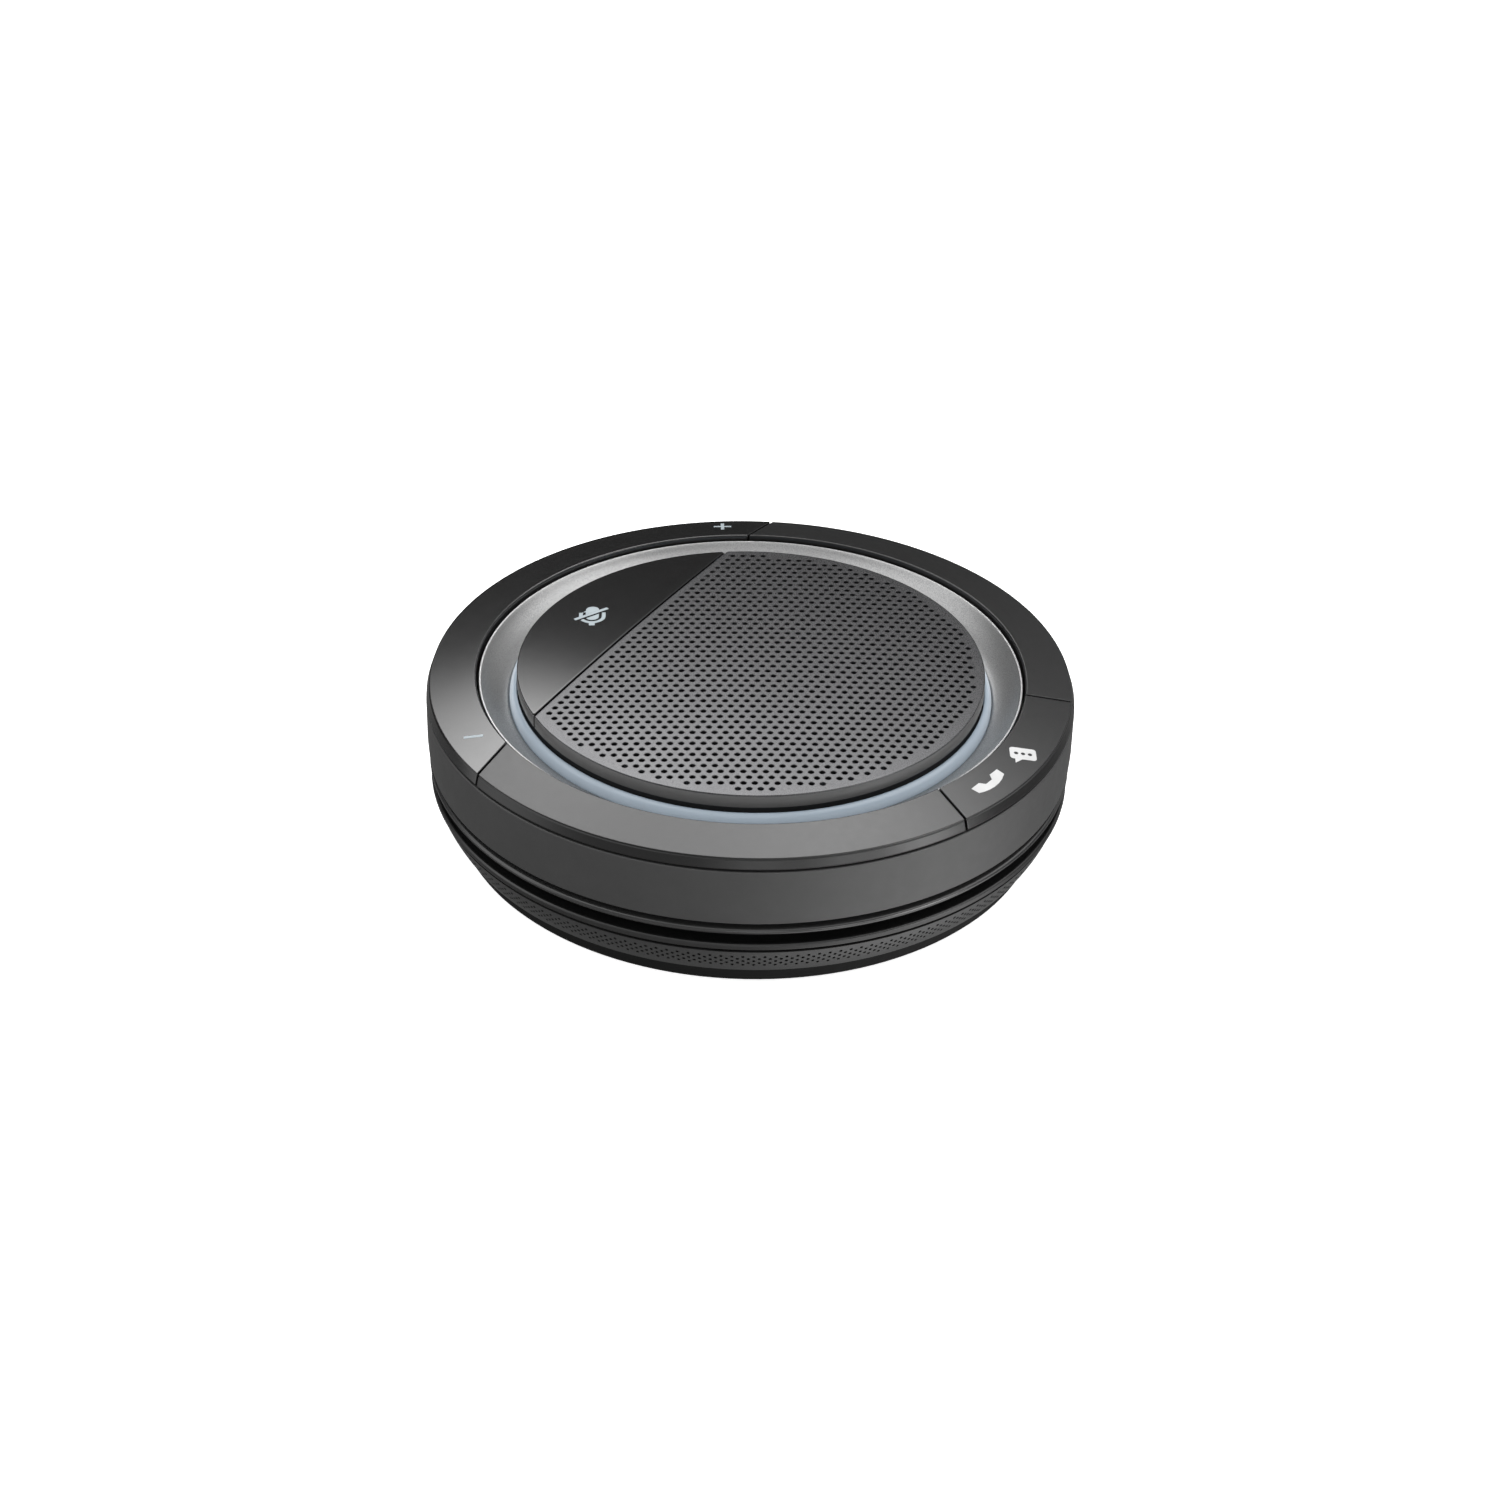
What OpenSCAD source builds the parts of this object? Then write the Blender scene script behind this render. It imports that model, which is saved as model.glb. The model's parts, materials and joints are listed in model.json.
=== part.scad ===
// Round tabletop conference speakerphone: a wide upper body with a ring of keys round a
// moat and a raised disc, carried on a tapered, perforated base with a rubber foot.
// Millimetres. Origin on the table under the centre, +Z up, -Y towards the front.

/* [Body] */
// Outside diameter of the upper body
body_d = 110; // [109.6:0.1:110.4]
// Thickness of the side wall
wall_t = 1.8; // [1.6:0.1:1.9]
// Height of the key ring's outer edge above the table
ring_edge_z = 27; // [27:0.1:27.4]
// Width of the visible split lines between ring segments
split_gap = 0.35; // [0.3:0.05:0.45]

/* [Disc] */
// Diameter of the raised disc with the grille and the mute key
disc_d = 79.28; // [79:0.02:79.3]
// Rise of the disc's dome above its own rim
disc_crown = 1; // [0.8:0.05:1.1]
// Distance of the straight edge of the mute key from the centre
mute_chord = 23.1; // [22.5:0.1:23.5]
// Travel of the mute key
mute_travel = 0.3; // [0.2:0.05:0.3]

/* [Base] */
// Radius of the base under its rim line
base_top_r = 54.4; // [54:0.1:54.5]
// Radius of the base where it meets the rubber foot
base_foot_r = 51.6; // [51.2:0.1:52]
// Height of the shadow gap between the base and the upper body
shadow_gap = 1.95; // [1.8:0.05:2]

/* [Speaker] */
// Radius of the loudspeaker's frame
driver_r = 27.6; // [27:0.1:28]
// Radius of the magnet
magnet_r = 16; // [15:0.1:17]

/* [Hidden] */

fine = 180;      // facets of a large circle
small = 32;      // facets of a small circle
reach = 80;      // further than any edge of the body

body_r = body_d / 2;
wall_in_r = body_r - wall_t;

// key ring, as heights from its outer top edge
ring_edge_r = body_r - 0.64;
ring_low_z = ring_edge_z - 1.94;
ring_in_r = 46.56;
ring_in_z = ring_edge_z + 1.32;
ring_slope = (ring_in_z - ring_edge_z) / (ring_edge_r - ring_in_r);
key_mid_r = 50;
key_shell_t = 1.25;
key_skirt_t = 1.4;
key_wall_t = 1.2;
key_bottom_z = ring_edge_z - 1.8;
symbol_t = 0.3;

// directions of the moving keys, degrees round from +X
volume_dir = 150;
call_dir = -30;
call_half_split = 60;
call_split_r = 7.5;
volume_switch_half = 55;
call_switch_half = 15;

// bowl and light ring
bowl_rim_r = 45.65;
bowl_rim_z = ring_edge_z + 0.34;
bead_r = 46.1;
bead_z = bowl_rim_z + 0.1;
bowl_foot_r = 41.05;
bowl_foot_z = ring_edge_z - 3.2;
bowl_t = 0.9;
bowl_arc_r = 9;
light_in_r = 39.75;
light_top_z = ring_edge_z - 1.32;

// disc
disc_r = disc_d / 2;
disc_rim_z = ring_edge_z + 1.92;
disc_crown_z = disc_rim_z + disc_crown;
dome_r = (disc_r * disc_r + disc_crown * disc_crown) / (2 * disc_crown);
dome_steps = 12;
cap_t = 0.8;
skirt_w = 1.8;
skirt_z = disc_rim_z - 2.4;
rim_r = disc_r - 0.8;
rim_t = 2;
cloth_r = disc_r - skirt_w - 0.3;
cloth_t = 0.25;
glue_t = 0.05;
cloth_inset = 0.5;
mute_clear = mute_travel + 0.15;

// levels of the inside
deck_z = 21;
deck_t = 1.6;
deck_low_z = deck_z - deck_t;
deck_r = wall_in_r - 0.1;
board_t = 1;
board_top_z = deck_z + board_t;
board_in_r = 39.9;
board_out_r = 52.7;
wall_top_z = ring_low_z - 0.4;
lip_low_z = 12.35;
lip_bead_r = 0.55;
lip_bead_at = body_r - 0.25 - lip_bead_r;
lip_mid_z = lip_low_z + lip_bead_r;
lip_in_r = 50;
wall_low_z = lip_mid_z + 1.65;
tray_t = 1.4;
tray_low_z = 11.75;
tray_top_z = tray_low_z + tray_t;
rim_top_z = lip_low_z - shadow_gap;
band_top_z = 9.25;
band_ledge_z = band_top_z - 0.6;
rim_low_z = band_top_z + 0.1;
rim_groove = 0.6;
foot_h = 3.3;
foot_in_r = 44;
foot_low_r = 49.7;
plate_low_z = 1.8;
plate_r = base_foot_r - 1.2;
band_t = 1.2;
neck_r = 49.5;
neck_t = 3;

// fasteners
screw_r = 1;
screw_clear_r = 1.05;
screw_head_r = 1.9;
screw_head_h = 0.9;
base_screw_at = 41;
base_screw_len = 6.5;
base_seat_z = plate_low_z + screw_head_h + 0.1;
chassis_screw_at = 34;
chassis_screw_len = 6;
chassis_screw_turn = 20;
speaker_screw_at = 26;
boss_r = 2.6;

// main board and socket
main_z = 16.6;
main_t = 1.2;
main_r = 50.3;
usb_w = 8.94;
usb_h = 3.26;
usb_wall = 0.35;
usb_back_y = 46.4;
usb_mouth_y = 54;
usb_z = main_z + main_t / 2;

// keys' inner parts
pin_r = 0.6;
pin_bore_r = 0.65;
pin_z = 23.8;
lug_t = 1;
lug_w = 2.4;
lug_in_r = 47.3;
lug_out_r = 51.6;
lug_top_z = 24.7;
switch_body = 3;
switch_h = 1;
stem_h = 0.5;
key_plunger_z = board_top_z + switch_h + stem_h + 0.25;
mute_at = 30.5;
guide_at = 33;
guide_half = 16;
guide_r = 1.2;
guide_bore_r = 1.27;
guide_tube_r = 2.2;
guide_top_z = 25.6;

// loudspeaker
flange_t = 0.9;
flange_top_z = deck_z + flange_t;
cone_r = 19.4;
cone_low_z = 15.6;
coil_in_r = 5.9;
coil_out_r = 6.2;
winding_r = 6.7;
pole_r = 5.5;
gap_bore_r = 7.1;
plate_z = 9.6;
plate_t = 1.6;
magnet_z = 5.6;
magnet_in_r = 9;
yoke_t = 1.7;
spider_z = 14.6;
spider_r = 15.4;
sheet_t = 0.3;

// keeps everything beyond a straight line whose normal points along dir
module beyond(dir, dist) {
    rotate([0, 0, dir]) translate([dist, -reach, -reach]) cube(2 * reach);
}

module ring(r_out, r_in, z, h) {
    translate([0, 0, z]) rotate_extrude($fn = fine) translate([r_in, 0]) square([r_out - r_in, h]);
}

module turned(points) {
    rotate_extrude($fn = fine) polygon(points);
}

module at(dir, r, z = 0) {
    rotate([0, 0, dir]) translate([r, 0, z]) children();
}

module around(count, turn, r, z = 0) {
    for (i = [0 : count - 1]) at(turn + i * 360 / count, r, z) children();
}

module rounded_slot(w, h, depth) {
    half = w / 2 - h / 2;
    rotate([90, 0, 0]) linear_extrude(depth) union() {
        square([2 * half, h], center = true);
        for (side = [-1, 1]) translate([side * half, 0]) circle(r = h / 2, $fn = small);
    }
}

module screw(length) {
    translate([0, 0, -length]) cylinder(h = length, r = screw_r, $fn = small);
    cylinder(h = screw_head_h, r = screw_head_r, $fn = small);
}

// ---- base ----

module rubber_foot() color([0.09, 0.09, 0.1]) turned([
    [foot_in_r, 0], [foot_low_r, 0], [foot_low_r + 0.45, 0.5], [base_foot_r, foot_h],
    [plate_r, foot_h], [plate_r, plate_low_z], [foot_in_r, plate_low_z]
]);

module base_plate() color([0.12, 0.12, 0.13]) difference() {
    translate([0, 0, plate_low_z]) cylinder(h = foot_h - plate_low_z, r = plate_r, $fn = fine);
    around(4, 45, base_screw_at) {
        cylinder(h = base_seat_z, r = screw_head_r + 0.2, $fn = small);
        cylinder(h = 2 * foot_h, r = screw_clear_r, $fn = small);
    }
}

// the band's outline bulges slightly, with a dark groove between it and the rim above
module lower_grille() color([0.14, 0.14, 0.15]) {
    belly = (base_foot_r + base_top_r) / 2 + 0.22;
    mid = (foot_h + band_top_z) / 2;
    turned([
        [base_foot_r, foot_h], [belly, mid], [base_top_r - 0.2, band_ledge_z],
        [base_top_r - 0.8, band_ledge_z], [base_top_r - 0.8, band_top_z],
        [base_top_r - band_t - 0.2, band_top_z], [belly - band_t, mid], [base_foot_r - band_t, foot_h]
    ]);
}

module base_rim() color([0.2, 0.2, 0.21]) turned([
    [neck_r - neck_t, rim_low_z], [body_r - 0.4, rim_low_z], [body_r - 0.4, rim_top_z - 0.25],
    [body_r - 0.6, rim_top_z], [body_r - 0.95, rim_top_z], [body_r - 0.95, rim_top_z - rim_groove],
    [neck_r + 0.3, rim_top_z - rim_groove], [neck_r + 0.3, rim_top_z], [neck_r - neck_t, rim_top_z]
]);

module middle_tray() color([0.07, 0.07, 0.08]) difference() {
    union() {
        ring(lip_in_r, magnet_r + 2, tray_low_z, tray_t);
        ring(neck_r, neck_r - neck_t, rim_top_z, tray_low_z - rim_top_z + 0.5);
        around(4, 45, base_screw_at, foot_h) cylinder(h = tray_top_z - foot_h, r = boss_r, $fn = small);
        around(4, chassis_screw_turn, chassis_screw_at, tray_low_z)
            cylinder(h = main_z - tray_low_z, r = boss_r, $fn = small);
    }
    around(4, 45, base_screw_at, foot_h - 1) cylinder(h = base_screw_len, r = screw_clear_r, $fn = small);
    around(4, chassis_screw_turn, chassis_screw_at, tray_top_z - 0.5)
        cylinder(h = main_z, r = screw_clear_r, $fn = small);
}

// ---- upper body ----

module usb_cut() {
    translate([0, wall_in_r - 2.6, usb_z]) cube([usb_w + 2, 5, usb_h + 2.4], center = true);
    translate([0, body_r + 2, usb_z]) rounded_slot(usb_w + 0.5, usb_h + 0.5, 8);
}

module lip_ring() color([0.28, 0.28, 0.29]) difference() {
    union() {
        ring(lip_bead_at, lip_in_r, lip_low_z, 2 * lip_bead_r);
        translate([0, 0, lip_mid_z]) rotate_extrude($fn = fine)
            translate([lip_bead_at, 0]) circle(r = lip_bead_r, $fn = small);
        ring(wall_in_r - 0.05, 51.8, lip_mid_z, 3);
    }
    usb_cut();
}

module side_wall() color([0.25, 0.25, 0.26]) difference() {
    union() {
        turned([
            [wall_in_r, wall_low_z], [body_r - 0.2, wall_low_z], [body_r, wall_low_z + 3],
            [body_r, wall_top_z], [wall_in_r, wall_top_z]
        ]);
        ring(wall_in_r, 50.9, deck_low_z - 1.4, 1.4);
    }
    usb_cut();
}

// outline shared by the four ring segments: sloping top, bevelled edge, hollow underside
module ring_profile() turned([
    [ring_in_r - 0.16, key_bottom_z], [ring_in_r, ring_in_z], [ring_edge_r, ring_edge_z],
    [body_r, ring_low_z], [body_r - key_skirt_t, ring_low_z],
    [body_r - key_skirt_t - 0.3, ring_edge_z - key_shell_t],
    [ring_in_r + key_wall_t, ring_in_z - key_shell_t - 0.2], [ring_in_r + key_wall_t, key_bottom_z]
]);

// thin layer just under the sloping top, where symbols are set in
module ring_skin() turned([
    [ring_in_r + 0.2, ring_in_z - 0.2 * ring_slope], [ring_edge_r - 0.2, ring_edge_z + 0.2 * ring_slope],
    [ring_edge_r - 0.2, ring_edge_z + 0.2 * ring_slope - symbol_t],
    [ring_in_r + 0.2, ring_in_z - 0.2 * ring_slope - symbol_t]
]);

module trim_leg() ring(ring_in_r + key_wall_t, ring_in_r, board_top_z, key_bottom_z - board_top_z);

module front_trim() color([0.42, 0.42, 0.43]) difference() {
    union() {
        ring_profile();
        trim_leg();
    }
    beyond(volume_dir, mute_chord - split_gap / 2);
    beyond(call_dir + call_half_split, call_split_r - split_gap / 2);
}

module back_trim() color([0.24, 0.24, 0.25]) difference() {
    union() {
        ring_profile();
        trim_leg();
    }
    beyond(volume_dir, mute_chord - split_gap / 2);
    beyond(call_dir - call_half_split, call_split_r - split_gap / 2);
}

// boss that takes the pivot pin and the two plungers that reach the switches
module key_inner(dir, switch_half) {
    top_z = ring_edge_z;
    difference() {
        at(dir, lug_in_r + lug_t + 0.2, pin_z - 0.9) translate([0, -lug_w / 2, 0])
            cube([lug_out_r - lug_in_r - lug_t - 0.4, lug_w, top_z - pin_z + 0.9]);
        at(dir, lug_in_r, pin_z) rotate([0, 90, 0]) cylinder(h = 8, r = pin_bore_r, $fn = small);
    }
    for (side = [-1, 1]) at(dir + side * switch_half, key_mid_r, key_plunger_z)
        cylinder(h = top_z - key_plunger_z, r = 0.9, $fn = small);
}

module volume_body() intersection() {
    union() {
        ring_profile();
        key_inner(volume_dir, volume_switch_half);
    }
    beyond(volume_dir, mute_chord + split_gap / 2);
}

module call_body() intersection() {
    union() {
        ring_profile();
        key_inner(call_dir, call_switch_half);
    }
    beyond(call_dir + call_half_split, call_split_r + split_gap / 2);
    beyond(call_dir - call_half_split, call_split_r + split_gap / 2);
}

// ---- symbols, as flat outlines ----

module bar(length, width) square([length, width], center = true);

module plus_outline() translate([-4.4, 51.2]) {
    bar(3.2, 0.6);
    bar(0.6, 3.2);
}

module minus_outline() translate([-45.85, -20.95]) bar(3.2, 0.6);

module handset_outline() translate([32.6, -29]) rotate(-38.6) intersection() {
    circle(r = 8.1, $fn = 64);
    polygon([
        [5.8, -3.65], [9, -3.45], [9, 3.45], [5.8, 3.65],
        [5.9, 1.5], [6.75, 0.85], [6.75, -0.85], [5.9, -1.5]
    ]);
}

module bubble_outline() translate([44.1, -24.8]) difference() {
    union() {
        bar(4.4, 1.8);
        bar(3.2, 3);
        for (sx = [-1, 1], sy = [-1, 1]) translate([sx * 1.6, sy * 0.9]) circle(r = 0.6, $fn = small);
        polygon([[-1.4, -1.2], [0, -1.2], [-1.4, -2.6]]);
    }
    for (i = [-1 : 1]) translate([i * 1.15, 0]) circle(r = 0.36, $fn = small);
}

module slash_at() translate([-27.5, 16.3]) rotate(34) children();

module microphone_outline() {
    difference() {
        translate([-27.3, 15.3]) union() {
            translate([-1.15, 0]) square([2.3, 2.35]);
            circle(r = 1.15, $fn = small);
            translate([0, 2.35]) circle(r = 1.15, $fn = small);
            difference() {
                union() {
                    circle(r = 2.3, $fn = small);
                    translate([-2.3, 0]) square([4.6, 1.4]);
                }
                circle(r = 1.65, $fn = small);
                translate([-1.65, 0]) square([3.3, 1.5]);
                translate([-3, 1.4]) square([6, 3]);
            }
            translate([-0.5, -3.05]) square([1, 0.9]);
        }
        slash_at() translate([0, -0.25]) bar(7.2, 1.15);
    }
    slash_at() bar(6.8, 0.65);
}

module symbol_prism() translate([0, 0, ring_low_z]) linear_extrude(8) children();

module volume_prisms() symbol_prism() {
    plus_outline();
    minus_outline();
}

module call_prisms() symbol_prism() {
    handset_outline();
    bubble_outline();
}

module volume_key() color([0.13, 0.13, 0.14]) difference() {
    volume_body();
    intersection() {
        ring_skin();
        volume_prisms();
    }
}

module volume_symbols() color([0.75, 0.78, 0.8]) intersection() {
    ring_skin();
    volume_prisms();
}

module call_key() color([0.35, 0.35, 0.36]) difference() {
    call_body();
    intersection() {
        ring_skin();
        call_prisms();
    }
}

module call_symbols() color([0.93, 0.93, 0.93]) intersection() {
    ring_skin();
    call_prisms();
}

// ---- moat ----

// the bowl's surface is part of a circle through its rim and its foot, centred above the moat,
// and a small bead runs round outside it
module bowl_ring() color([0.68, 0.69, 0.71]) {
    dr = bowl_rim_r - bowl_foot_r;
    dz = bowl_rim_z - bowl_foot_z;
    chord = sqrt(dr * dr + dz * dz);
    rise = sqrt(bowl_arc_r * bowl_arc_r - chord * chord / 4);
    mid_r = (bowl_rim_r + bowl_foot_r) / 2 - rise * dz / chord;
    mid_z = (bowl_rim_z + bowl_foot_z) / 2 + rise * dr / chord;
    difference() {
        union() {
            turned([
                [bowl_foot_r, bowl_foot_z - bowl_t], [bowl_foot_r, bowl_foot_z],
                [bowl_rim_r, bowl_rim_z], [bowl_rim_r, bowl_rim_z - 1.6]
            ]);
            ring(bowl_rim_r, bowl_rim_r - 1, board_top_z, bowl_rim_z - 1.6 - board_top_z);
            ring(bead_r, bowl_rim_r - 0.3, bowl_rim_z - 1.5, bead_z - bowl_rim_z + 1.5);
        }
        rotate_extrude($fn = fine) translate([mid_r, mid_z]) circle(r = bowl_arc_r, $fn = 360);
    }
}

module light_ring() color([0.75, 0.82, 0.88]) {
    turned([
        [light_in_r, board_top_z + 0.8], [bowl_foot_r - 0.05, board_top_z + 0.8],
        [bowl_foot_r - 0.05, bowl_foot_z], [light_in_r + 0.35, light_top_z - 0.15],
        [light_in_r, light_top_z]
    ]);
    ring(bowl_foot_r + 1.3, bowl_foot_r - 0.05, board_top_z + 0.1, 0.75);
}

// ---- disc ----

// height of the dome's surface at radius r
function dome_z(r) = disc_crown_z - dome_r + sqrt(dome_r * dome_r - r * r);

// solid of revolution from height z up to the dome, lowered by drop
module dome_body(r, z, drop) turned(concat(
    [[0, z], [r, z]],
    [for (i = [dome_steps : -1 : 0]) [r * i / dome_steps, dome_z(r * i / dome_steps) - drop]]
));

module disc_rim() color([0.3, 0.3, 0.31]) difference() {
    ring(rim_r, rim_r - rim_t, deck_z, skirt_z - deck_z);
    translate([0, 0, skirt_z - mute_clear]) linear_extrude(5) mute_side_outline();
}

// flat outline of everything on the mute key's side of the chord
module mute_side_outline() rotate(volume_dir) translate([mute_chord - split_gap / 2, -reach])
    square(2 * reach);

module grille() color([0.6, 0.6, 0.61]) difference() {
    dome_body(disc_r, skirt_z, 0);
    dome_body(disc_r - skirt_w, skirt_z - 1, cap_t);
    beyond(volume_dir, mute_chord - split_gap / 2);
}

// acoustic cloth glued under the perforated top
module grille_cloth() color([0.05, 0.05, 0.05]) difference() {
    dome_body(cloth_r, disc_rim_z - cap_t - 0.3, cap_t + glue_t);
    dome_body(cloth_r + 1, disc_rim_z - cap_t - 1, cap_t + glue_t + cloth_t);
    beyond(volume_dir, mute_chord - cloth_inset);
}

module mute_body() {
    stem_root_z = disc_rim_z - 0.3;
    guide_low_z = board_top_z + 0.2;
    mute_stem_z = board_top_z + switch_h + stem_h + mute_travel + 0.05;
    intersection() {
        difference() {
            dome_body(disc_r, skirt_z, 0);
            dome_body(disc_r - skirt_w, skirt_z - 1, cap_t);
        }
        beyond(volume_dir, mute_chord + split_gap / 2);
    }
    for (side = [-1, 1]) at(volume_dir + side * guide_half, guide_at, guide_low_z)
        cylinder(h = stem_root_z - guide_low_z, r = guide_r, $fn = small);
    at(volume_dir, mute_at, mute_stem_z) cylinder(h = stem_root_z - mute_stem_z, r = 1.4, $fn = small);
}

module disc_skin() difference() {
    dome_body(disc_r, skirt_z, 0);
    dome_body(disc_r + 1, skirt_z - 1, symbol_t);
}

module mute_prism() symbol_prism() microphone_outline();

module mute_key() color([0.12, 0.12, 0.13]) difference() {
    mute_body();
    intersection() {
        disc_skin();
        mute_prism();
    }
}

module mute_symbol() color([0.72, 0.77, 0.8]) intersection() {
    disc_skin();
    mute_prism();
}

// ---- inner frame ----

module pivot_bores(r) for (dir = [volume_dir, call_dir])
    at(dir, lug_in_r, pin_z) rotate([0, 90, 0])
        cylinder(h = lug_out_r + lug_t - lug_in_r, r = r, $fn = small);

module chassis() color([0.1, 0.1, 0.11]) difference() {
    union() {
        ring(deck_r, 24.2, deck_low_z, deck_t);
        for (dir = [volume_dir, call_dir], r = [lug_in_r, lug_out_r]) at(dir, r, deck_low_z)
            translate([0, -lug_w / 2, 0]) cube([lug_t, lug_w, lug_top_z - deck_low_z]);
        for (side = [-1, 1]) at(volume_dir + side * guide_half, guide_at, deck_low_z)
            cylinder(h = guide_top_z - deck_low_z, r = guide_tube_r, $fn = small);
        around(4, chassis_screw_turn, chassis_screw_at, main_z + main_t)
            cylinder(h = deck_z - main_z - main_t, r = boss_r, $fn = small);
    }
    for (side = [-1, 1]) at(volume_dir + side * guide_half, guide_at, deck_low_z - 1)
        cylinder(h = guide_top_z, r = guide_bore_r, $fn = small);
    around(4, chassis_screw_turn, chassis_screw_at, main_z)
        cylinder(h = deck_z, r = screw_clear_r, $fn = small);
    around(4, chassis_screw_turn, chassis_screw_at, deck_z - screw_head_h)
        cylinder(h = deck_z, r = screw_head_r + 0.1, $fn = small);
    around(4, 65, speaker_screw_at, deck_low_z - 1) cylinder(h = deck_t + 2, r = 0.7, $fn = small);
    pivot_bores(pin_r);
}

module pivot_pins() color([0.8, 0.8, 0.82]) pivot_bores(pin_r);

module key_board() color([0.1, 0.3, 0.16]) difference() {
    ring(board_out_r, board_in_r, deck_z, board_t);
    for (dir = [volume_dir, call_dir]) at(dir, lug_in_r - 0.3, deck_z - 1)
        translate([0, -lug_w / 2 - 0.3, 0]) cube([10, lug_w + 0.6, board_t + 2]);
}

module mute_board() color([0.1, 0.3, 0.16])
    at(volume_dir, mute_at, deck_z) translate([-2.2, -6, 0]) cube([5, 12, board_t]);

module leds() color([0.95, 0.93, 0.8]) around(24, 7.5, bowl_foot_r - 0.75, board_top_z)
    translate([-0.4, -0.8, 0]) cube([0.8, 1.6, 0.5]);

module tact_switch() {
    translate([-switch_body / 2, -switch_body / 2, 0]) cube([switch_body, switch_body, switch_h]);
    translate([0, 0, switch_h]) cylinder(h = stem_h, r = 0.8, $fn = small);
}

module key_switches() color([0.75, 0.75, 0.77]) {
    for (side = [-1, 1]) {
        at(volume_dir + side * volume_switch_half, key_mid_r, board_top_z) tact_switch();
        at(call_dir + side * call_switch_half, key_mid_r, board_top_z) tact_switch();
    }
    at(volume_dir, mute_at, board_top_z) tact_switch();
}

module microphones() color([0.8, 0.72, 0.45]) around(6, 0, bowl_foot_r + 2.5, board_top_z)
    translate([-0.8, -1.5, 0]) cube([1.6, 3, 0.9]);

module main_board() color([0.08, 0.27, 0.15]) difference() {
    ring(main_r, driver_r + 0.6, main_z, main_t);
    around(4, chassis_screw_turn, chassis_screw_at, main_z - 1)
        cylinder(h = main_t + 2, r = screw_clear_r, $fn = small);
    translate([-usb_w / 2 - 0.2, usb_back_y - 0.2, main_z - 1]) cube([usb_w + 0.4, 10, main_t + 2]);
}

module board_chips() color([0.15, 0.15, 0.16]) {
    for (chip = [[-50, 9, 1.2], [-118, 7, 1], [178, 8, 1.2], [62, 6, 0.9], [150, 5, 1]])
        at(chip[0], 39.5, main_z + main_t) translate([-chip[1] / 2, -chip[1] / 2, 0])
            cube([chip[1], chip[1], chip[2]]);
}

module usb_shell() color([0.75, 0.75, 0.77]) difference() {
    translate([0, usb_mouth_y, usb_z]) rounded_slot(usb_w, usb_h, usb_mouth_y - usb_back_y);
    translate([0, usb_mouth_y + 1, usb_z])
        rounded_slot(usb_w - 2 * usb_wall, usb_h - 2 * usb_wall, usb_mouth_y - usb_back_y);
}

module usb_tongue() color([0.08, 0.08, 0.09])
    translate([-3.35, usb_back_y + 1, usb_z - 0.35]) cube([6.7, 5, 0.7]);

// ---- battery ----

module battery() color([0.55, 0.6, 0.68]) translate([-17, -43, foot_h + 0.8]) cube([34, 20, 5]);

module battery_foam() color([0.2, 0.2, 0.22]) translate([-16, -42, foot_h]) cube([32, 18, 0.8]);

// ---- loudspeaker ----

module speaker_basket() color([0.3, 0.3, 0.32]) difference() {
    window_w = 16;
    turned([
        [gap_bore_r + 0.4, plate_z + plate_t], [16.6, plate_z + plate_t], [17.6, 14.2], [24, deck_z],
        [driver_r, deck_z], [driver_r, flange_top_z], [23.2, flange_top_z], [23.2, deck_z + 0.2],
        [16.9, spider_z], [spider_r - 0.6, spider_z], [spider_r - 0.6, 12.2], [gap_bore_r + 0.4, 12.2]
    ]);
    around(4, 20, 12, 15.6) translate([0, -window_w / 2, 0]) cube([14, window_w, 4.4]);
    around(4, 65, speaker_screw_at, deck_z - 1) cylinder(h = 3, r = 0.9, $fn = small);
}

module speaker_plate() color([0.6, 0.6, 0.62]) ring(magnet_r - 0.5, gap_bore_r, plate_z, plate_t);

module speaker_magnet() color([0.17, 0.17, 0.18]) ring(magnet_r, magnet_in_r, magnet_z, plate_z - magnet_z);

module speaker_yoke() color([0.6, 0.6, 0.62]) {
    translate([0, 0, magnet_z - yoke_t]) cylinder(h = yoke_t, r = magnet_r - 0.5, $fn = fine);
    translate([0, 0, magnet_z]) cylinder(h = plate_z + plate_t - magnet_z, r = pole_r, $fn = fine);
}

module voice_coil() color([0.72, 0.45, 0.2]) {
    ring(coil_out_r, coil_in_r, 7.5, cone_low_z + 0.7 - 7.5);
    ring(winding_r, coil_out_r, 8.4, 4);
}

module speaker_cone() color([0.13, 0.13, 0.14]) turned([
    [coil_out_r, cone_low_z], [coil_out_r + 0.5, cone_low_z], [cone_r, flange_top_z],
    [cone_r, flange_top_z + 0.35], [cone_r - 0.5, flange_top_z + 0.35], [coil_out_r, cone_low_z + 0.6]
]);

module dust_cap() color([0.1, 0.1, 0.11])
    rotate_extrude($fn = fine) translate([0, cone_low_z + 0.75 - 6.3]) difference() {
        intersection() {
            circle(r = 9, $fn = fine);
            translate([0, 6.3]) square([8, 4]);
        }
        circle(r = 8.65, $fn = fine);
    }

// half roll between the cone's edge and the frame
module surround() color([0.07, 0.07, 0.08]) rotate_extrude($fn = fine)
    translate([(cone_r + 23.4) / 2, flange_top_z + 0.05]) {
        roll = (23.4 - cone_r) / 2 - 0.05;
        intersection() {
            difference() {
                circle(r = roll, $fn = 64);
                circle(r = roll - sheet_t, $fn = 64);
            }
            translate([-3, 0]) square([6, 3]);
        }
        translate([roll - 0.1, 0]) square([1.2, sheet_t]);
    }

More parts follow.
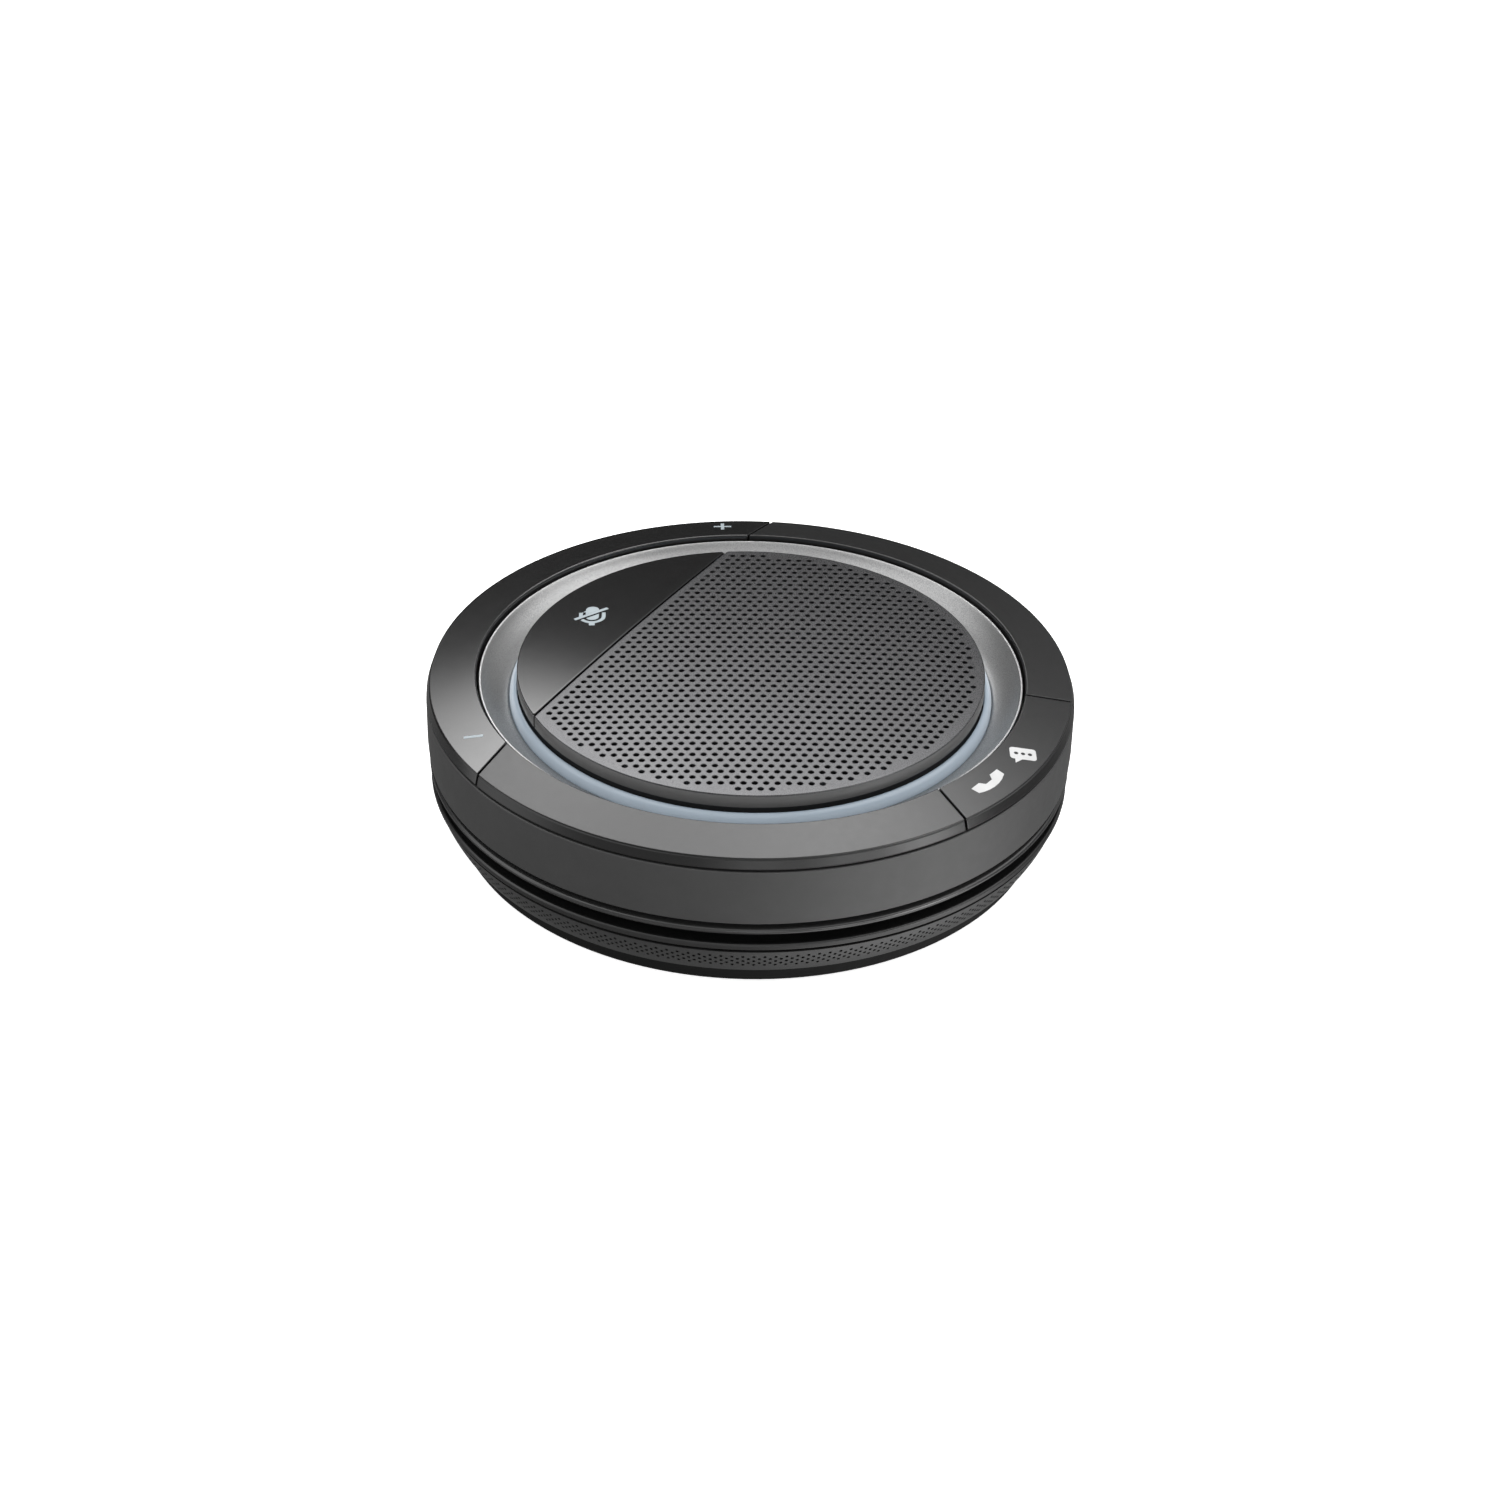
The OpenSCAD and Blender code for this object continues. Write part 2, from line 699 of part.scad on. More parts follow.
// corrugated ring that centres the coil
module spider() color([0.75, 0.6, 0.35]) {
    steps = 48;
    wave = [for (i = [0 : steps]) let (r = coil_out_r + (spider_r - coil_out_r) * i / steps)
        [r, spider_z + sheet_t - 0.35 * sin(i * 360 * 4 / steps)]];
    under = [for (i = [steps : -1 : 0]) [wave[i][0], wave[i][1] - sheet_t]];
    turned(concat(wave, under));
}

module speaker_gasket() color([0.15, 0.15, 0.16]) difference() {
    ring(driver_r - 0.2, 24.8, flange_top_z, 0.8);
    around(4, 65, speaker_screw_at, flange_top_z - 1) cylinder(h = 3, r = 1.1, $fn = small);
}

// ---- fasteners ----

module base_screws() color([0.6, 0.6, 0.62]) around(4, 45, base_screw_at, base_seat_z)
    mirror([0, 0, 1]) screw(base_screw_len - 1);

module chassis_screws() color([0.6, 0.6, 0.62])
    around(4, chassis_screw_turn, chassis_screw_at, deck_z - screw_head_h) screw(chassis_screw_len);

module speaker_screws() color([0.6, 0.6, 0.62]) around(4, 65, speaker_screw_at, flange_top_z) {
    translate([0, 0, -2.2]) cylinder(h = 2.2, r = 0.7, $fn = small);
    cylinder(h = 0.6, r = 0.95, $fn = small);
}

rubber_foot();
base_plate();
lower_grille();
base_rim();
middle_tray();
lip_ring();
side_wall();
front_trim();
back_trim();
volume_key();
volume_symbols();
call_key();
call_symbols();
bowl_ring();
light_ring();
disc_rim();
grille();
grille_cloth();
mute_key();
mute_symbol();
chassis();
pivot_pins();
key_board();
mute_board();
leds();
key_switches();
microphones();
main_board();
board_chips();
usb_shell();
usb_tongue();
battery();
battery_foam();
speaker_basket();
speaker_plate();
speaker_magnet();
speaker_yoke();
voice_coil();
speaker_cone();
dust_cap();
surround();
spider();
speaker_gasket();
base_screws();
chassis_screws();
speaker_screws();
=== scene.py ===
"""Looks of the round conference speakerphone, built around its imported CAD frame.

Shapes are worked out in millimetres and scaled to metres when an object is made.
"""
import json
from math import acos, atan2, cos, degrees, hypot, pi, radians, sin, sqrt, tan

import bmesh
import bpy
from mathutils import Matrix, Vector
from mathutils.geometry import delaunay_2d_cdt


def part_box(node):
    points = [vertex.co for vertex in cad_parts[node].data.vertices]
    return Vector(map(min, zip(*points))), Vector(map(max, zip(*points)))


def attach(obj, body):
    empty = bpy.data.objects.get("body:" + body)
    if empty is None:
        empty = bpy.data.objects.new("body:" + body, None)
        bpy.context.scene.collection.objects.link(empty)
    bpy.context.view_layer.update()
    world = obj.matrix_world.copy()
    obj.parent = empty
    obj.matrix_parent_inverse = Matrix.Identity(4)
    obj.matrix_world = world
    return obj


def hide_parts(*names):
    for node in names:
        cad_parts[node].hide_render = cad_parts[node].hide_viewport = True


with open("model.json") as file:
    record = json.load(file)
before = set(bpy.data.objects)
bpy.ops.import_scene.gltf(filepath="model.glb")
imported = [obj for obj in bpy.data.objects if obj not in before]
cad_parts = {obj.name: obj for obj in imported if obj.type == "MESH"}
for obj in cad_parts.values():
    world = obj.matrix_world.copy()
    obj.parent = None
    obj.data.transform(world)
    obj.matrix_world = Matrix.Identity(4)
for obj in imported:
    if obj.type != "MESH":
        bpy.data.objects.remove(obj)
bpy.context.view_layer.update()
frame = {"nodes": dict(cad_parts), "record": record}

MM = 0.001
RING_STEPS = 288          # columns of a full turn
CORNER_STEPS = 4          # points along a rounded corner


def low(node):
    """Lowest corner of a CAD node in millimetres."""
    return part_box(node)[0] / MM


def high(node):
    """Highest corner of a CAD node in millimetres."""
    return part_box(node)[1] / MM


# ---- sizes, worked out from the frame where a node's box gives them ----

BODY_R = high("side_wall").x
WALL_T = 1.8
LIP_LOW_Z = low("lip_ring").z
LIP_BEAD = 0.55                               # radius of the lip's round edge
WALL_LOW_Z = LIP_LOW_Z + 2 * LIP_BEAD + 1.1
WALL_TOP_Z = high("side_wall").z
RING_TOP_Z = high("front_trim").z
RING_RISE = 1.32
RING_EDGE_Z = RING_TOP_Z - RING_RISE
RING_EDGE_R = BODY_R - 0.64
RING_LOW_Z = RING_EDGE_Z - 1.94
RING_IN_R = 46.56
RING_SLOPE = RING_RISE / (RING_EDGE_R - RING_IN_R)
SPLIT = 0.35 / 2          # half of the gap between two segments
VOLUME_DIR = 150
CALL_DIR = -30
CALL_HALF = 60
CHORD = 23.1
CALL_SPLIT = 7.5

DISC_R = high("grille").x
DISC_TOP_Z = high("grille").z
DISC_CROWN = 1.0
DISC_RIM_Z = DISC_TOP_Z - DISC_CROWN
DOME_R = (DISC_R ** 2 + DISC_CROWN ** 2) / (2 * DISC_CROWN)
CAP_T = 0.8
SKIRT_Z = low("grille").z     # bottom of the disc's side
SKIRT_TOP_Z = DISC_RIM_Z - 0.25
SKIRT_T = 0.25

HOLE_R = 0.48
HOLE_PITCH = 1.817
HOLE_FIELD_R = 38.0
HOLE_CHORD_GAP = 1.15
HOLE_LIP = 0.07           # width and depth of a hole's chamfer
HOLE_SIDES = 14

BAND_HOLE_R = 0.27
BAND_HOLE_SIDES = 12
BAND_HOLES = 192          # round the body, in each pair of rows
BAND_ROWS = 5
BAND_ROW_STEP = 0.585
BAND_LAST_ROW_Z = 7.45
BAND_BULGE = 0.22         # how far the band's outline stands out half-way up
BAND_T = 0.9


def dome_z(x, y):
    """Height of the disc's domed top."""
    return DISC_TOP_Z - DOME_R + sqrt(DOME_R ** 2 - x * x - y * y)


def ring_z(x, y):
    """Height of the sloping top of the key ring."""
    return RING_EDGE_Z + (RING_EDGE_R - hypot(x, y)) * RING_SLOPE


def polar(radius, degrees_round, x=0.0, y=0.0):
    return (x + radius * cos(radians(degrees_round)), y + radius * sin(radians(degrees_round)))


# ---- materials ----

def node_tree(name):
    material = bpy.data.materials.new(name)
    material.use_nodes = True
    tree = material.node_tree
    tree.nodes.clear()
    output = tree.nodes.new("ShaderNodeOutputMaterial")
    shader = tree.nodes.new("ShaderNodeBsdfPrincipled")
    tree.links.new(shader.outputs["BSDF"], output.inputs["Surface"])
    return material, tree, shader


def noise(tree, size_mm, detail=2.0, stretch=(1, 1, 1)):
    """A noise whose features are about size_mm across, in the object's own space."""
    place = tree.nodes.new("ShaderNodeTexCoord")
    mapping = tree.nodes.new("ShaderNodeMapping")
    mapping.inputs["Scale"].default_value = stretch
    texture = tree.nodes.new("ShaderNodeTexNoise")
    texture.inputs["Scale"].default_value = 1 / (size_mm * MM)
    texture.inputs["Detail"].default_value = detail
    tree.links.new(place.outputs["Object"], mapping.inputs["Vector"])
    tree.links.new(mapping.outputs["Vector"], texture.inputs["Vector"])
    return texture.outputs["Fac"]


def spread(tree, value, start, end, at=(0.3, 0.7)):
    """Maps the middle of a noise's range to start..end."""
    node = tree.nodes.new("ShaderNodeMapRange")
    node.inputs["From Min"].default_value = at[0]
    node.inputs["From Max"].default_value = at[1]
    node.inputs["To Min"].default_value = start
    node.inputs["To Max"].default_value = end
    tree.links.new(value, node.inputs["Value"])
    return node.outputs["Result"]


def two_tone(tree, value, dark, light, at=(0.3, 0.7)):
    ramp = tree.nodes.new("ShaderNodeValToRGB")
    ramp.color_ramp.elements[0].position = at[0]
    ramp.color_ramp.elements[1].position = at[1]
    ramp.color_ramp.elements[0].color = (*dark, 1)
    ramp.color_ramp.elements[1].color = (*light, 1)
    tree.links.new(value, ramp.inputs["Fac"])
    return ramp.outputs["Color"]


def surface(name, colour, roughness, mottle=0.05, mottle_mm=4, grain_mm=0.18, grain=0.004,
            uneven=0.025, **constant):
    """Mottled colour, slightly uneven gloss and a fine grain in relief, with sizes in millimetres."""
    material, tree, shader = node_tree(name)
    dark = [c * (1 - mottle) for c in colour]
    light = [min(1, c * (1 + mottle)) for c in colour]
    tree.links.new(two_tone(tree, noise(tree, mottle_mm, 4), dark, light), shader.inputs["Base Color"])
    rough = spread(tree, noise(tree, mottle_mm * 0.6), roughness - uneven, roughness + uneven)
    tree.links.new(rough, shader.inputs["Roughness"])
    if grain:
        bump = tree.nodes.new("ShaderNodeBump")
        bump.inputs["Distance"].default_value = grain * MM
        bump.inputs["Strength"].default_value = 1.0
        tree.links.new(noise(tree, grain_mm, 3), bump.inputs["Height"])
        tree.links.new(bump.outputs["Normal"], shader.inputs["Normal"])
    for socket, value in constant.items():
        shader.inputs[socket.replace("_", " ")].default_value = value
    return material


def flake_paint(name, dark, light, flake_mm, metallic, roughness, at=(0.35, 0.7)):
    """Metallic paint whose flakes show as a fine light and dark speckle."""
    material, tree, shader = node_tree(name)
    flakes = noise(tree, flake_mm, 1)
    tree.links.new(two_tone(tree, flakes, dark, light, at), shader.inputs["Base Color"])
    tree.links.new(spread(tree, flakes, roughness + 0.08, roughness - 0.08), shader.inputs["Roughness"])
    shader.inputs["Metallic"].default_value = metallic
    bump = tree.nodes.new("ShaderNodeBump")
    bump.inputs["Distance"].default_value = 0.002 * MM
    tree.links.new(flakes, bump.inputs["Height"])
    tree.links.new(bump.outputs["Normal"], shader.inputs["Normal"])
    return material


def grey(value, blue=0.0):
    return (value, value, value * (1 + blue))


MATERIALS = {
    "foot_rubber": surface("foot_rubber", grey(0.005), 0.75, grain_mm=0.25, grain=0.012,
                           Specular_IOR_Level=0.1),
    "base_plastic": surface("base_plastic", grey(0.022), 0.6, grain_mm=0.2, grain=0.01),
    "base_mesh": surface("base_mesh", grey(0.034), 0.45, grain_mm=0.12, grain=0.003),
    "rim_plastic": surface("rim_plastic", grey(0.011), 0.35, grain_mm=0.2, grain=0.003),
    "inner_plastic": surface("inner_plastic", grey(0.010), 0.7, grain_mm=0.3, grain=0.006),
    "lip_gloss": surface("lip_gloss", grey(0.028), 0.22, grain_mm=0.3, grain=0.001),
    "wall_plastic": surface("wall_plastic", grey(0.040), 0.5, grain_mm=0.15, grain=0.004),
    "ring_plastic": surface("ring_plastic", grey(0.010, 0.01), 0.32, mottle_mm=2, grain_mm=0.14,
                            grain=0.003, uneven=0.01, Specular_IOR_Level=0.38),
    "key_gloss": surface("key_gloss", grey(0.012), 0.2, grain=0, uneven=0.006),
    "symbol_grey": surface("symbol_grey", (0.29, 0.335, 0.36), 0.5, grain_mm=0.1, grain=0.002),
    "symbol_white": surface("symbol_white", grey(0.5), 0.5, grain_mm=0.1, grain=0.002),
    "bowl_silver": flake_paint("bowl_silver", grey(0.26), grey(0.39), 0.16, 0.8, 0.38),
    # The diffuser's faint bluish emission is a painted glow that lifts its brightness.
    "light_diffuser": surface("light_diffuser", (0.31, 0.365, 0.42), 0.2, mottle=0.02, grain=0,
                              uneven=0.01, Emission_Color=(0.6, 0.75, 0.9, 1), Emission_Strength=0.08),
    "disc_rim_plastic": surface("disc_rim_plastic", grey(0.066), 0.5, grain_mm=0.14, grain=0.005),
    "grille_metal": flake_paint("grille_metal", grey(0.060, 0.03), grey(0.087, 0.03), 0.12, 0.9, 0.3),
    "mute_gloss": surface("mute_gloss", grey(0.010), 0.12, grain=0, uneven=0.004),
    "acoustic_cloth": surface("acoustic_cloth", grey(0.008), 0.9, grain_mm=0.15, grain=0.03),
    "steel": surface("steel", grey(0.5), 0.35, grain_mm=0.3, grain=0.002, Metallic=1.0),
    "circuit_board": surface("circuit_board", (0.006, 0.025, 0.014), 0.4, grain_mm=1.2, grain=0.01),
    "led_white": surface("led_white", (0.85, 0.82, 0.65), 0.3, grain=0.0),
    "gold_can": surface("gold_can", (0.75, 0.6, 0.3), 0.35, grain=0.001, Metallic=1.0),
    "chip_plastic": surface("chip_plastic", grey(0.03), 0.55, grain=0.004),
    "battery_foil": surface("battery_foil", (0.3, 0.36, 0.45), 0.4, grain_mm=2, grain=0.02),
    "foam": surface("foam", grey(0.03), 0.9, grain_mm=0.5, grain=0.06),
    "ferrite": surface("ferrite", grey(0.04), 0.6, grain=0.006),
    "copper_wire": surface("copper_wire", (0.6, 0.28, 0.1), 0.35, grain_mm=0.2, grain=0.01, Metallic=1.0),
    "paper_cone": surface("paper_cone", grey(0.02), 0.8, grain_mm=0.6, grain=0.02),
    "surround_rubber": surface("surround_rubber", grey(0.015), 0.6, grain=0.003),
    "spider_cloth": surface("spider_cloth", (0.45, 0.32, 0.14), 0.85, grain_mm=0.4, grain=0.03),
}


# ---- mesh helpers ----

def to_object(name, bm, slot, body, *nodes):
    """Turns a mesh made in millimetres into a smooth-shaded piece that stands for CAD nodes."""
    bmesh.ops.scale(bm, vec=(MM, MM, MM), verts=bm.verts)
    bmesh.ops.recalc_face_normals(bm, faces=bm.faces)
    for face in bm.faces:
        face.smooth = True
    mesh = bpy.data.meshes.new(name)
    bm.to_mesh(mesh)
    bm.free()
    mesh.materials.append(MATERIALS[slot])
    piece = bpy.data.objects.new(name, mesh)
    bpy.context.scene.collection.objects.link(piece)
    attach(piece, body)
    if nodes:
        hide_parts(*nodes)
    return piece


def rounded(points, radius):
    """A closed outline with its corners rounded. A point may carry its own radius as a third number.
    A supporting point on each side of a corner keeps the flat stretches flat in smooth shading."""
    out = []
    for i, point in enumerate(points):
        here = Vector(point[:2])
        size = point[2] if len(point) > 2 else radius
        before = Vector(points[i - 1][:2]) - here
        after = Vector(points[(i + 1) % len(points)][:2]) - here
        half_angle = before.angle(after) / 2
        if size == 0 or half_angle > radians(87):
            out.append(here)
            continue
        reach = min(size / tan(half_angle), 0.4 * before.length, 0.4 * after.length)
        start = here + before.normalized() * reach
        end = here + after.normalized() * reach
        middle = (before.normalized() + after.normalized()).normalized()
        centre = here + middle * reach / cos(half_angle)
        arm = start - centre
        sweep = arm.angle_signed(end - centre)
        out.append(start + before.normalized() * min(0.06, 0.1 * before.length))
        for k in range(CORNER_STEPS + 1):
            out.append(centre + Matrix.Rotation(-sweep * k / CORNER_STEPS, 2) @ arm)
        out.append(end + after.normalized() * min(0.06, 0.1 * after.length))
    return out


def inset(points, distance):
    """A closed counter-clockwise outline moved inwards."""
    out = []
    for i, point in enumerate(points):
        before = (point - points[i - 1]).normalized()
        after = (points[(i + 1) % len(points)] - point).normalized()
        inward = Vector((-before.y - after.y, before.x + after.x))
        scale = distance / max(0.3, (1 + before.dot(after)) / 2)
        out.append(point + inward / 2 * scale)
    return out


def is_ccw(points):
    return sum(a.cross(b) for a, b in zip(points, points[1:] + points[:1])) > 0


def lathe(profile):
    """A full turn of a closed (radius, height) outline."""
    bm = bmesh.new()
    columns = []
    for j in range(RING_STEPS):
        turn = 2 * pi * j / RING_STEPS
        columns.append([bm.verts.new((p.x * cos(turn), p.x * sin(turn), p.y)) for p in profile])
    stitch(bm, columns, True)
    return bm


def stitch(bm, columns, closed):
    """Quads between neighbouring columns of points, each column a closed loop."""
    pairs = list(zip(columns, columns[1:]))
    if closed:
        pairs.append((columns[-1], columns[0]))
    for a, b in pairs:
        for i in range(len(a)):
            k = (i + 1) % len(a)
            bm.faces.new((a[i], a[k], b[k], b[i]))


def plane_angle(direction, distance, side, keep):
    """Where a circle meets the plane at that distance along a direction, in radians. The result takes
    a radius and how far the point stands back from the plane. keep is 1 beyond the plane, -1 before it."""
    return lambda r, back: radians(direction) + side * acos((distance + keep * back) / r)


def segment(profile, start, end, edge=0.14):
    """Part of a turn between two planes, with softened ends."""
    if not is_ccw(profile):
        profile = profile[::-1]
    ends = [(edge * (1 - sin(t)), edge * (1 - cos(t))) for t in (0, pi / 8, pi / 4, 3 * pi / 8, pi / 2)]
    ends.append((0, edge * 1.6))
    steps = round(RING_STEPS * (end(50, 0) - start(50, 0)) / (2 * pi))
    bm = bmesh.new()
    columns = []
    for shrink, back in ends:
        columns.append([(p, start(p.x, back)) for p in inset(profile, shrink)])
    stand_off = ends[-1][1]
    for j in range(1, steps):
        t = j / steps
        columns.append([(p, start(p.x, stand_off) * (1 - t) + end(p.x, stand_off) * t) for p in profile])
    for shrink, back in reversed(ends):
        columns.append([(p, end(p.x, back)) for p in inset(profile, shrink)])
    columns = [[bm.verts.new((p.x * cos(a), p.x * sin(a), p.y)) for p, a in c] for c in columns]
    stitch(bm, columns, False)
    bm.faces.new(columns[0])
    bm.faces.new(columns[-1][::-1])
    return bm


def triangulate(loops, loose=()):
    """Triangles inside the first loop and outside the others, all convex: (points, triangles)."""
    points, edges, owner = [], [], []
    for number, loop in enumerate(loops):
        first = len(points)
        points += [Vector(p) for p in loop]
        owner += [number] * len(loop)
        edges += [(first + i, first + (i + 1) % len(loop)) for i in range(len(loop))]
    points += [Vector(p) for p in loose]
    owner += [0] * len(loose)
    out = delaunay_2d_cdt(points, edges, [], 0, 1e-6, False)
    if len(out[0]) != len(points):
        raise ValueError("the outlines cross each other")

    def is_kept(a, b, c):
        """False inside a hole, and for the flat slivers between points on one straight line."""
        p, q, r = out[0][a], out[0][b], out[0][c]
        longest = max((q - p).length, (r - q).length, (p - r).length)
        in_hole = owner[a] > 0 and owner[a] == owner[b] == owner[c]
        return not in_hole and abs((q - p).cross(r - p)) > 1e-4 * longest

    return out[0], [t for t in out[2] if is_kept(*t)]


def circle(x, y, r, count):
    return [Vector(polar(r, 360 * (i + 0.5) / count, x, y)) for i in range(count)]


def sheet(outline, holes, top, thickness, edge, side_low, loose=()):
    """A plate of even thickness under a curved top, with a rounded top edge and sides that reach down
    to side_low. Its holes are given as (x, y, radius), go right through and have a small chamfer."""
    if not is_ccw(outline):
        outline = outline[::-1]
    field = inset(outline, edge * 1.7)
    rims = [circle(x, y, r + HOLE_LIP, HOLE_SIDES) for x, y, r in holes]
    points, triangles = triangulate([field] + rims, loose)
    bm = bmesh.new()
    upper = [bm.verts.new((p.x, p.y, top(p.x, p.y))) for p in points]
    lower = [bm.verts.new((p.x, p.y, top(p.x, p.y) - thickness)) for p in points]
    for a, b, c in triangles:
        bm.faces.new((upper[a], upper[b], upper[c]))
        bm.faces.new((lower[c], lower[b], lower[a]))
    rings = [upper[:len(field)]]
    for k in range(CORNER_STEPS + 1):
        t = k / CORNER_STEPS * pi / 2
        line = inset(outline, edge * (1 - sin(t)))
        drop = edge * (1 - cos(t))
        rings.append([bm.verts.new((p.x, p.y, top(p.x, p.y) - drop)) for p in line])
    rings.append([bm.verts.new((p.x, p.y, top(p.x, p.y) - edge * 1.6)) for p in outline])
    rings.append([bm.verts.new((p.x, p.y, side_low(p))) for p in outline])
    rings.append(lower[:len(field)])
    for a, b in zip(rings, rings[1:]):
        for i in range(len(a)):
            k = (i + 1) % len(a)
            bm.faces.new((a[i], b[i], b[k], a[k]))
    first = len(field)
    for x, y, r in holes:
        throat = [bm.verts.new((p.x, p.y, top(p.x, p.y) - HOLE_LIP)) for p in circle(x, y, r, HOLE_SIDES)]
        for i in range(HOLE_SIDES):
            k = (i + 1) % HOLE_SIDES
            a, b = first + i, first + k
            chamfer = bm.faces.new((upper[a], upper[b], throat[k], throat[i]))
            wall = bm.faces.new((throat[i], throat[k], lower[b], lower[a]))
            chamfer.edges[0].smooth = False
            wall.edges[0].smooth = False
            wall.edges[2].smooth = False
        first += HOLE_SIDES
    return bm


# ---- key ring ----

RING_PROFILE = rounded([
    (RING_IN_R - 0.16, RING_EDGE_Z - 1.8, 0.1), (RING_IN_R, RING_TOP_Z, 0.22),
    (RING_EDGE_R, RING_EDGE_Z, 0.1), (RING_EDGE_R + 0.03, RING_EDGE_Z - 0.14, 0),
    (RING_EDGE_R - 0.2, RING_EDGE_Z - 0.28, 0), (RING_EDGE_R + 0.14, RING_EDGE_Z - 0.42, 0.08),
    (BODY_R, RING_LOW_Z, 0.15), (BODY_R - 1.4, RING_LOW_Z, 0.1),
    (BODY_R - 1.7, RING_EDGE_Z - 1.25, 0.1), (RING_IN_R + 1.2, RING_TOP_Z - 1.45, 0.1),
    (RING_IN_R + 1.2, RING_EDGE_Z - 1.8, 0.1)], 0.1)

volume_in, volume_out = CHORD + SPLIT, CHORD - SPLIT
call_in, call_out = CALL_SPLIT + SPLIT, CALL_SPLIT - SPLIT
call_first, call_last = CALL_DIR + CALL_HALF, CALL_DIR - CALL_HALF
FULL = 360

to_object("volume_key_shell", segment(
    RING_PROFILE, plane_angle(VOLUME_DIR, volume_in, -1, 1), plane_angle(VOLUME_DIR, volume_in, 1, 1)),
    "key_gloss", "volume_rocker", "volume_key")
to_object("front_trim_shell", segment(
    RING_PROFILE, plane_angle(VOLUME_DIR, volume_out, 1, -1),
    plane_angle(call_first + FULL, call_out, -1, -1)),
    "ring_plastic", "housing", "front_trim")
to_object("call_key_shell", segment(
    RING_PROFILE, plane_angle(call_first, call_in, -1, 1), plane_angle(call_last, call_in, 1, 1)),
    "ring_plastic", "call_rocker", "call_key")
to_object("back_trim_shell", segment(
    RING_PROFILE, plane_angle(call_last, call_out, 1, -1), plane_angle(VOLUME_DIR, volume_out, -1, -1)),
    "ring_plastic", "housing", "back_trim")


# ---- moat ----

def arc_between(start, end, radius, steps):
    """Points on an arc that sags below the line from start to end, both ends left out."""
    a, b = Vector(start), Vector(end)
    chord = b - a
    rise = sqrt(radius ** 2 - chord.length_squared / 4)
    centre = (a + b) / 2 + Vector((-chord.y, chord.x)).normalized() * rise
    first = atan2(a.y - centre.y, a.x - centre.x)
    last = atan2(b.y - centre.y, b.x - centre.x)
    turns = [first + (last - first) * i / steps for i in range(1, steps)]
    return [(centre.x + radius * cos(t), centre.y + radius * sin(t), 0) for t in turns]


BEAD_R = high("bowl_ring").x
BEAD_Z = high("bowl_ring").z
BEAD_LOW_Z = low("bowl_ring").z
BOWL_RIM = (BEAD_R - 0.45, BEAD_Z - 0.1)
BOWL_FOOT = (41.05, RING_EDGE_Z - 3.2)
LIGHT_IN_R = 39.75
LIGHT_TOP_Z = high("light_ring").z

BOWL_ARC_R = 9
BOWL_STEPS = 14

bowl = arc_between(BOWL_FOOT, BOWL_RIM, BOWL_ARC_R, BOWL_STEPS)
to_object("bowl_shell", lathe(rounded(
    [(BOWL_FOOT[0], BOWL_FOOT[1] - 0.9), (*BOWL_FOOT, 0)] + bowl
    + [(*BOWL_RIM, 0), (BEAD_R - 0.35, BEAD_Z, 0.1), (BEAD_R, BEAD_Z, 0.16), (BEAD_R, BEAD_LOW_Z),
       (BOWL_RIM[0] - 1, BEAD_LOW_Z)], 0.08)),
    "bowl_silver", "housing", "bowl_ring")

COLLAR_R = BOWL_FOOT[0] - 0.05
COLLAR_LOW_Z = low("light_ring").z
collar = [Vector((LIGHT_IN_R + (COLLAR_R - LIGHT_IN_R) * sin(radians(t)),
                  BOWL_FOOT[1] + (LIGHT_TOP_Z - BOWL_FOOT[1]) * cos(radians(t)))) for t in range(0, 91, 9)]
collar += [Vector((COLLAR_R, COLLAR_LOW_Z)), Vector((LIGHT_IN_R, COLLAR_LOW_Z))]
# The collar carries the diffuser's painted glow, a faint emission that brightens it.
to_object("light_ring_collar", lathe(collar), "light_diffuser", "housing", "light_ring")


# ---- disc ----

def disc_outline(beyond):
    """Outline of the disc on one side of the chord of the mute key, with rounded tips."""
    distance = CHORD + SPLIT if beyond else CHORD - SPLIT
    half = degrees(acos(distance / DISC_R))
    if beyond:
        first, last = VOLUME_DIR - half, VOLUME_DIR + half
    else:
        first, last = VOLUME_DIR + half, VOLUME_DIR - half + FULL
    near = 3.2                                # degrees from each tip to the next point of the arc
    count = round((last - first - 2 * near) / 1.2)
    turns = [first + near + (last - first - 2 * near) * i / count for i in range(count + 1)]
    arc = [(*polar(DISC_R, turn), 0) for turn in turns]
    start, end = Vector(polar(DISC_R, first)), Vector(polar(DISC_R, last))
    chord_steps = 40
    straight = [(*end.lerp(start, i / chord_steps), 0) for i in range(1, chord_steps)]
    return rounded([(*start, 0.45)] + arc + [(*end, 0.45)] + straight, 0)


def beyond_chord(x, y):
    """How far a point lies along the mute key's direction."""
    return x * cos(radians(VOLUME_DIR)) + y * sin(radians(VOLUME_DIR))


def grille_holes():
    holes = []
    row_step = HOLE_PITCH * sqrt(3) / 2
    rows = int(HOLE_FIELD_R / row_step)
    for row in range(-rows, rows + 1):
        shift = 0.5 if row % 2 == 0 else 0.0
        for column in range(-24, 24):
            x, y = (column + shift) * HOLE_PITCH, row * row_step
            if hypot(x, y) < HOLE_FIELD_R and beyond_chord(x, y) < CHORD - HOLE_CHORD_GAP:
                holes.append((x, y, HOLE_R))
    return holes


def cap_side(p):
    """Bottom of a cap's side: thin round the disc, where a skirt goes on below, and the plate's full
    thickness along the chord."""
    return SKIRT_TOP_Z if hypot(p.x, p.y) > DISC_R - 0.5 else dome_z(p.x, p.y) - CAP_T


to_object("grille_sheet", sheet(disc_outline(False), grille_holes(), dome_z, CAP_T, 0.15, cap_side),
          "grille_metal", "housing", "grille")

